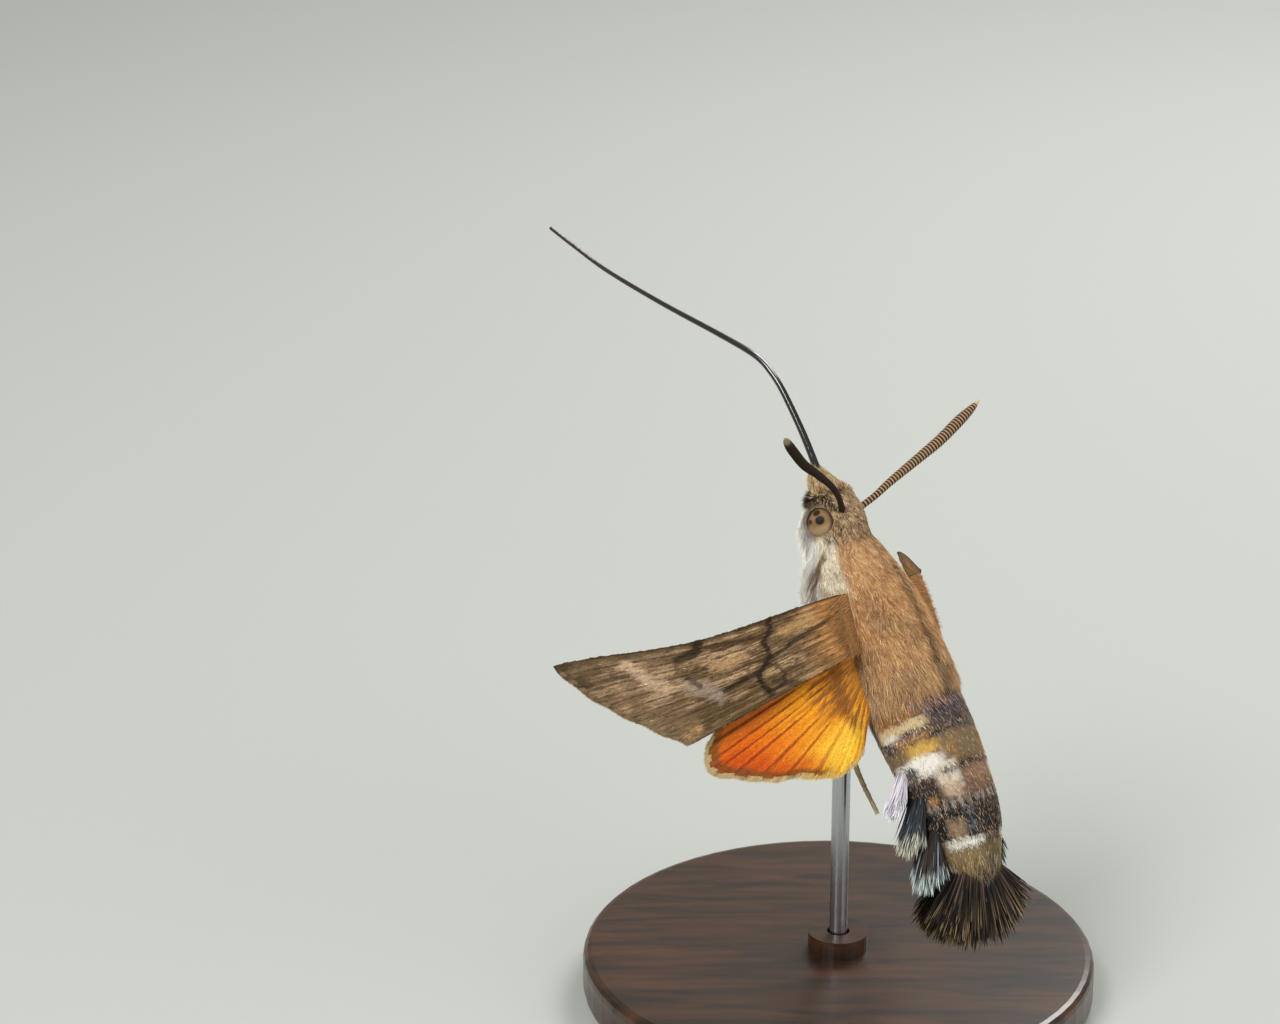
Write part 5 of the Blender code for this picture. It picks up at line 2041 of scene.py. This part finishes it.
@dataclass
class Studio:
    """Floor, soft lights and the camera at the photograph's place.

    Attributes:
        pixels_per_mm: Scale of the photograph at the moth.
        thorax_pixel: Place of the middle of the thorax in the photograph.
        distance: Millimetres from the camera to the moth.
        elevation: Degrees by which the camera looks down.
        sensor: Width of the camera's sensor in millimetres.
        lamps: Name, place, size and power of each lamp: soft key, broad fill and a rim from behind.
        lit: Point that the lamps face.
        sky: Colour and strength of the light from all round.
    """

    pixels_per_mm: float = 15.625
    thorax_pixel: tuple = (880.0, 620.0)
    distance: float = 230.0
    elevation: float = 20.0
    sensor: float = 36.0
    lamps: tuple = (
        ("key", (-0.22, -0.30, 0.38), 0.22, 2.30),
        ("fill", (0.36, -0.26, 0.16), 0.34, 0.72),
        ("rim", (0.16, 0.26, 0.30), 0.20, 1.20),
    )
    lit: tuple = (0.0, 0.0, 0.025)
    sky: tuple = ("#ECECEA", 0.48)

    def build(self) -> None:
        """Build the whole setting."""
        self.floor()
        self.lights()
        self.camera()

    def floor(self) -> None:
        """Pale floor that sweeps up into a backdrop."""
        rows = [(-0.5 + place * 1.6, 0.0) for place in np.linspace(0.0, 1.0, 40) if place < 0.5]
        for place in np.linspace(0.0, 1.0, 40):
            if place >= 0.5:
                turn = (place - 0.5) * pi
                rows.append((0.3 + 0.30 * sin(turn), 0.30 - 0.30 * cos(turn)))
        rows.append((0.60, 1.3))
        mesh = bpy.data.meshes.new("backdrop")
        points = [(x, y, z) for y, z in rows for x in (-1.6, 1.6)]
        mesh.from_pydata(points, [], grid_faces(len(rows), 2, False).tolist())
        mesh.polygons.foreach_set("use_smooth", np.ones(len(mesh.polygons), bool))
        mesh.materials.append(PaleBackdrop().material())
        sweep = self.placed("backdrop", mesh)

    def placed(self, name: str, data: bpy.types.ID) -> Piece:
        """New object in the scene, around a mesh, a lamp or a camera.

        Args:
            name: Name of the object.
            data: Mesh, lamp or camera.

        Returns:
            The object.
        """
        thing = bpy.data.objects.new(name, data)
        bpy.context.scene.collection.objects.link(thing)
        return thing

    def lights(self) -> None:
        """Lamps and the light from all round."""
        for name, place, size, power in self.lamps:
            light = bpy.data.lights.new(name, "AREA")
            light.size, light.energy = size, power
            lamp = self.placed(name, light)
            lamp.location = place
            lamp.rotation_euler = (Vector(self.lit) - Vector(place)).to_track_quat("-Z", "Y").to_euler()
        world = bpy.data.worlds.new("soft_sky")
        world.use_nodes = True
        tone, strength = self.sky
        sky = world.node_tree.nodes["Background"]
        sky.inputs["Color"].default_value = (*srgb(tone), 1.0)
        sky.inputs["Strength"].default_value = strength
        bpy.context.scene.world = world
        bpy.context.scene.view_settings.view_transform = "Standard"

    def camera(self) -> None:
        """Long close-up lens that frames the animal as the photograph does."""
        down = radians(self.elevation)
        right, up = np.array([1.0, 0.0, 0.0]), np.array([0.0, sin(down), cos(down)])
        toward = np.array([0.0, -cos(down), sin(down)])
        across = (PHOTO_WIDTH / 2.0 - self.thorax_pixel[0]) / self.pixels_per_mm
        above = (self.thorax_pixel[1] - PHOTO_HEIGHT / 2.0) / self.pixels_per_mm
        aim = POSE.centre() + right * across + up * above
        camera = bpy.data.cameras.new("macro")
        camera.sensor_width = self.sensor
        camera.lens = self.sensor * self.distance / (PHOTO_WIDTH / self.pixels_per_mm)
        camera.clip_start, camera.clip_end = 0.01, 10.0
        holder = self.placed("macro", camera)
        holder.location = (aim + toward * self.distance) * MM
        holder.rotation_euler = (pi / 2.0 - down, 0.0, 0.0)
        bpy.context.scene.camera = holder


FLESH = ("head", "palp_left", "palp_right", "thorax", "abdomen_front", "abdomen_middle", "abdomen_rear")
TUFTS = (
    (1, 4.6, 2.9, 0.62, 0.45, TuftColour.PALE),
    (2, 6.4, 3.7, 0.42, 0.35, TuftColour.BLACK_CREAM),
    (3, 8.5, 4.1, 0.20, 0.25, TuftColour.BLACK_WHITE),
)
LEGS = (
    ("fore", ((0.90, 2.00, -2.30, 0.44), (2.15, 2.60, -3.45, 0.34), (2.15, 4.20, -2.98, 0.28),
              (1.72, 5.70, -2.82, 0.26), (1.28, 7.10, -2.95, 0.25))),
    ("middle", ((1.40, 0.90, -2.40, 0.45), (2.00, 1.10, -4.00, 0.42), (3.00, -1.90, -4.20, 0.36),
                (2.90, -5.20, -4.40, 0.28), (2.70, -7.20, -4.45, 0.25))),
    ("hind", ((1.50, -2.30, -2.30, 0.48), (1.90, -1.90, -3.55, 0.42), (2.70, -4.90, -3.35, 0.36),
              (2.35, -8.70, -3.62, 0.30), (2.00, -11.60, -3.42, 0.25))),
)
WING_ANGLES = {LEFT: (31.4, 3.4), RIGHT: (38.3, 9.2)}


def main() -> None:
    """Build every piece in order."""
    logging.basicConfig(level=logging.INFO, format="%(name)s %(message)s")
    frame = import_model()
    body = Body()
    coat = ScaleCoat().material()
    wing_surface = WingScales().material()
    eye_surface = CompoundEye().material()
    horn = Horn().material()
    dress(body.skin(), coat, "brown_scales", *FLESH)
    Coat(body).build(coat)
    for side in (LEFT, RIGHT):
        Eye(side).build(eye_surface)
        Antenna(side).build(coat)
        for name, bends in LEGS:
            Leg(name, side, bends).build(coat)
        for tuft in TUFTS:
            SideTuft(body, side, *tuft).build(coat)
        for kind in WingKind:
            Wing(kind, side, *WING_ANGLES[side]).build(wing_surface, coat)
    Proboscis().build(horn)
    TailFan(body).build(coat)
    Stand(frame["nodes"]).dress()
    Studio().build()


if __name__ == "__main__":
    main()
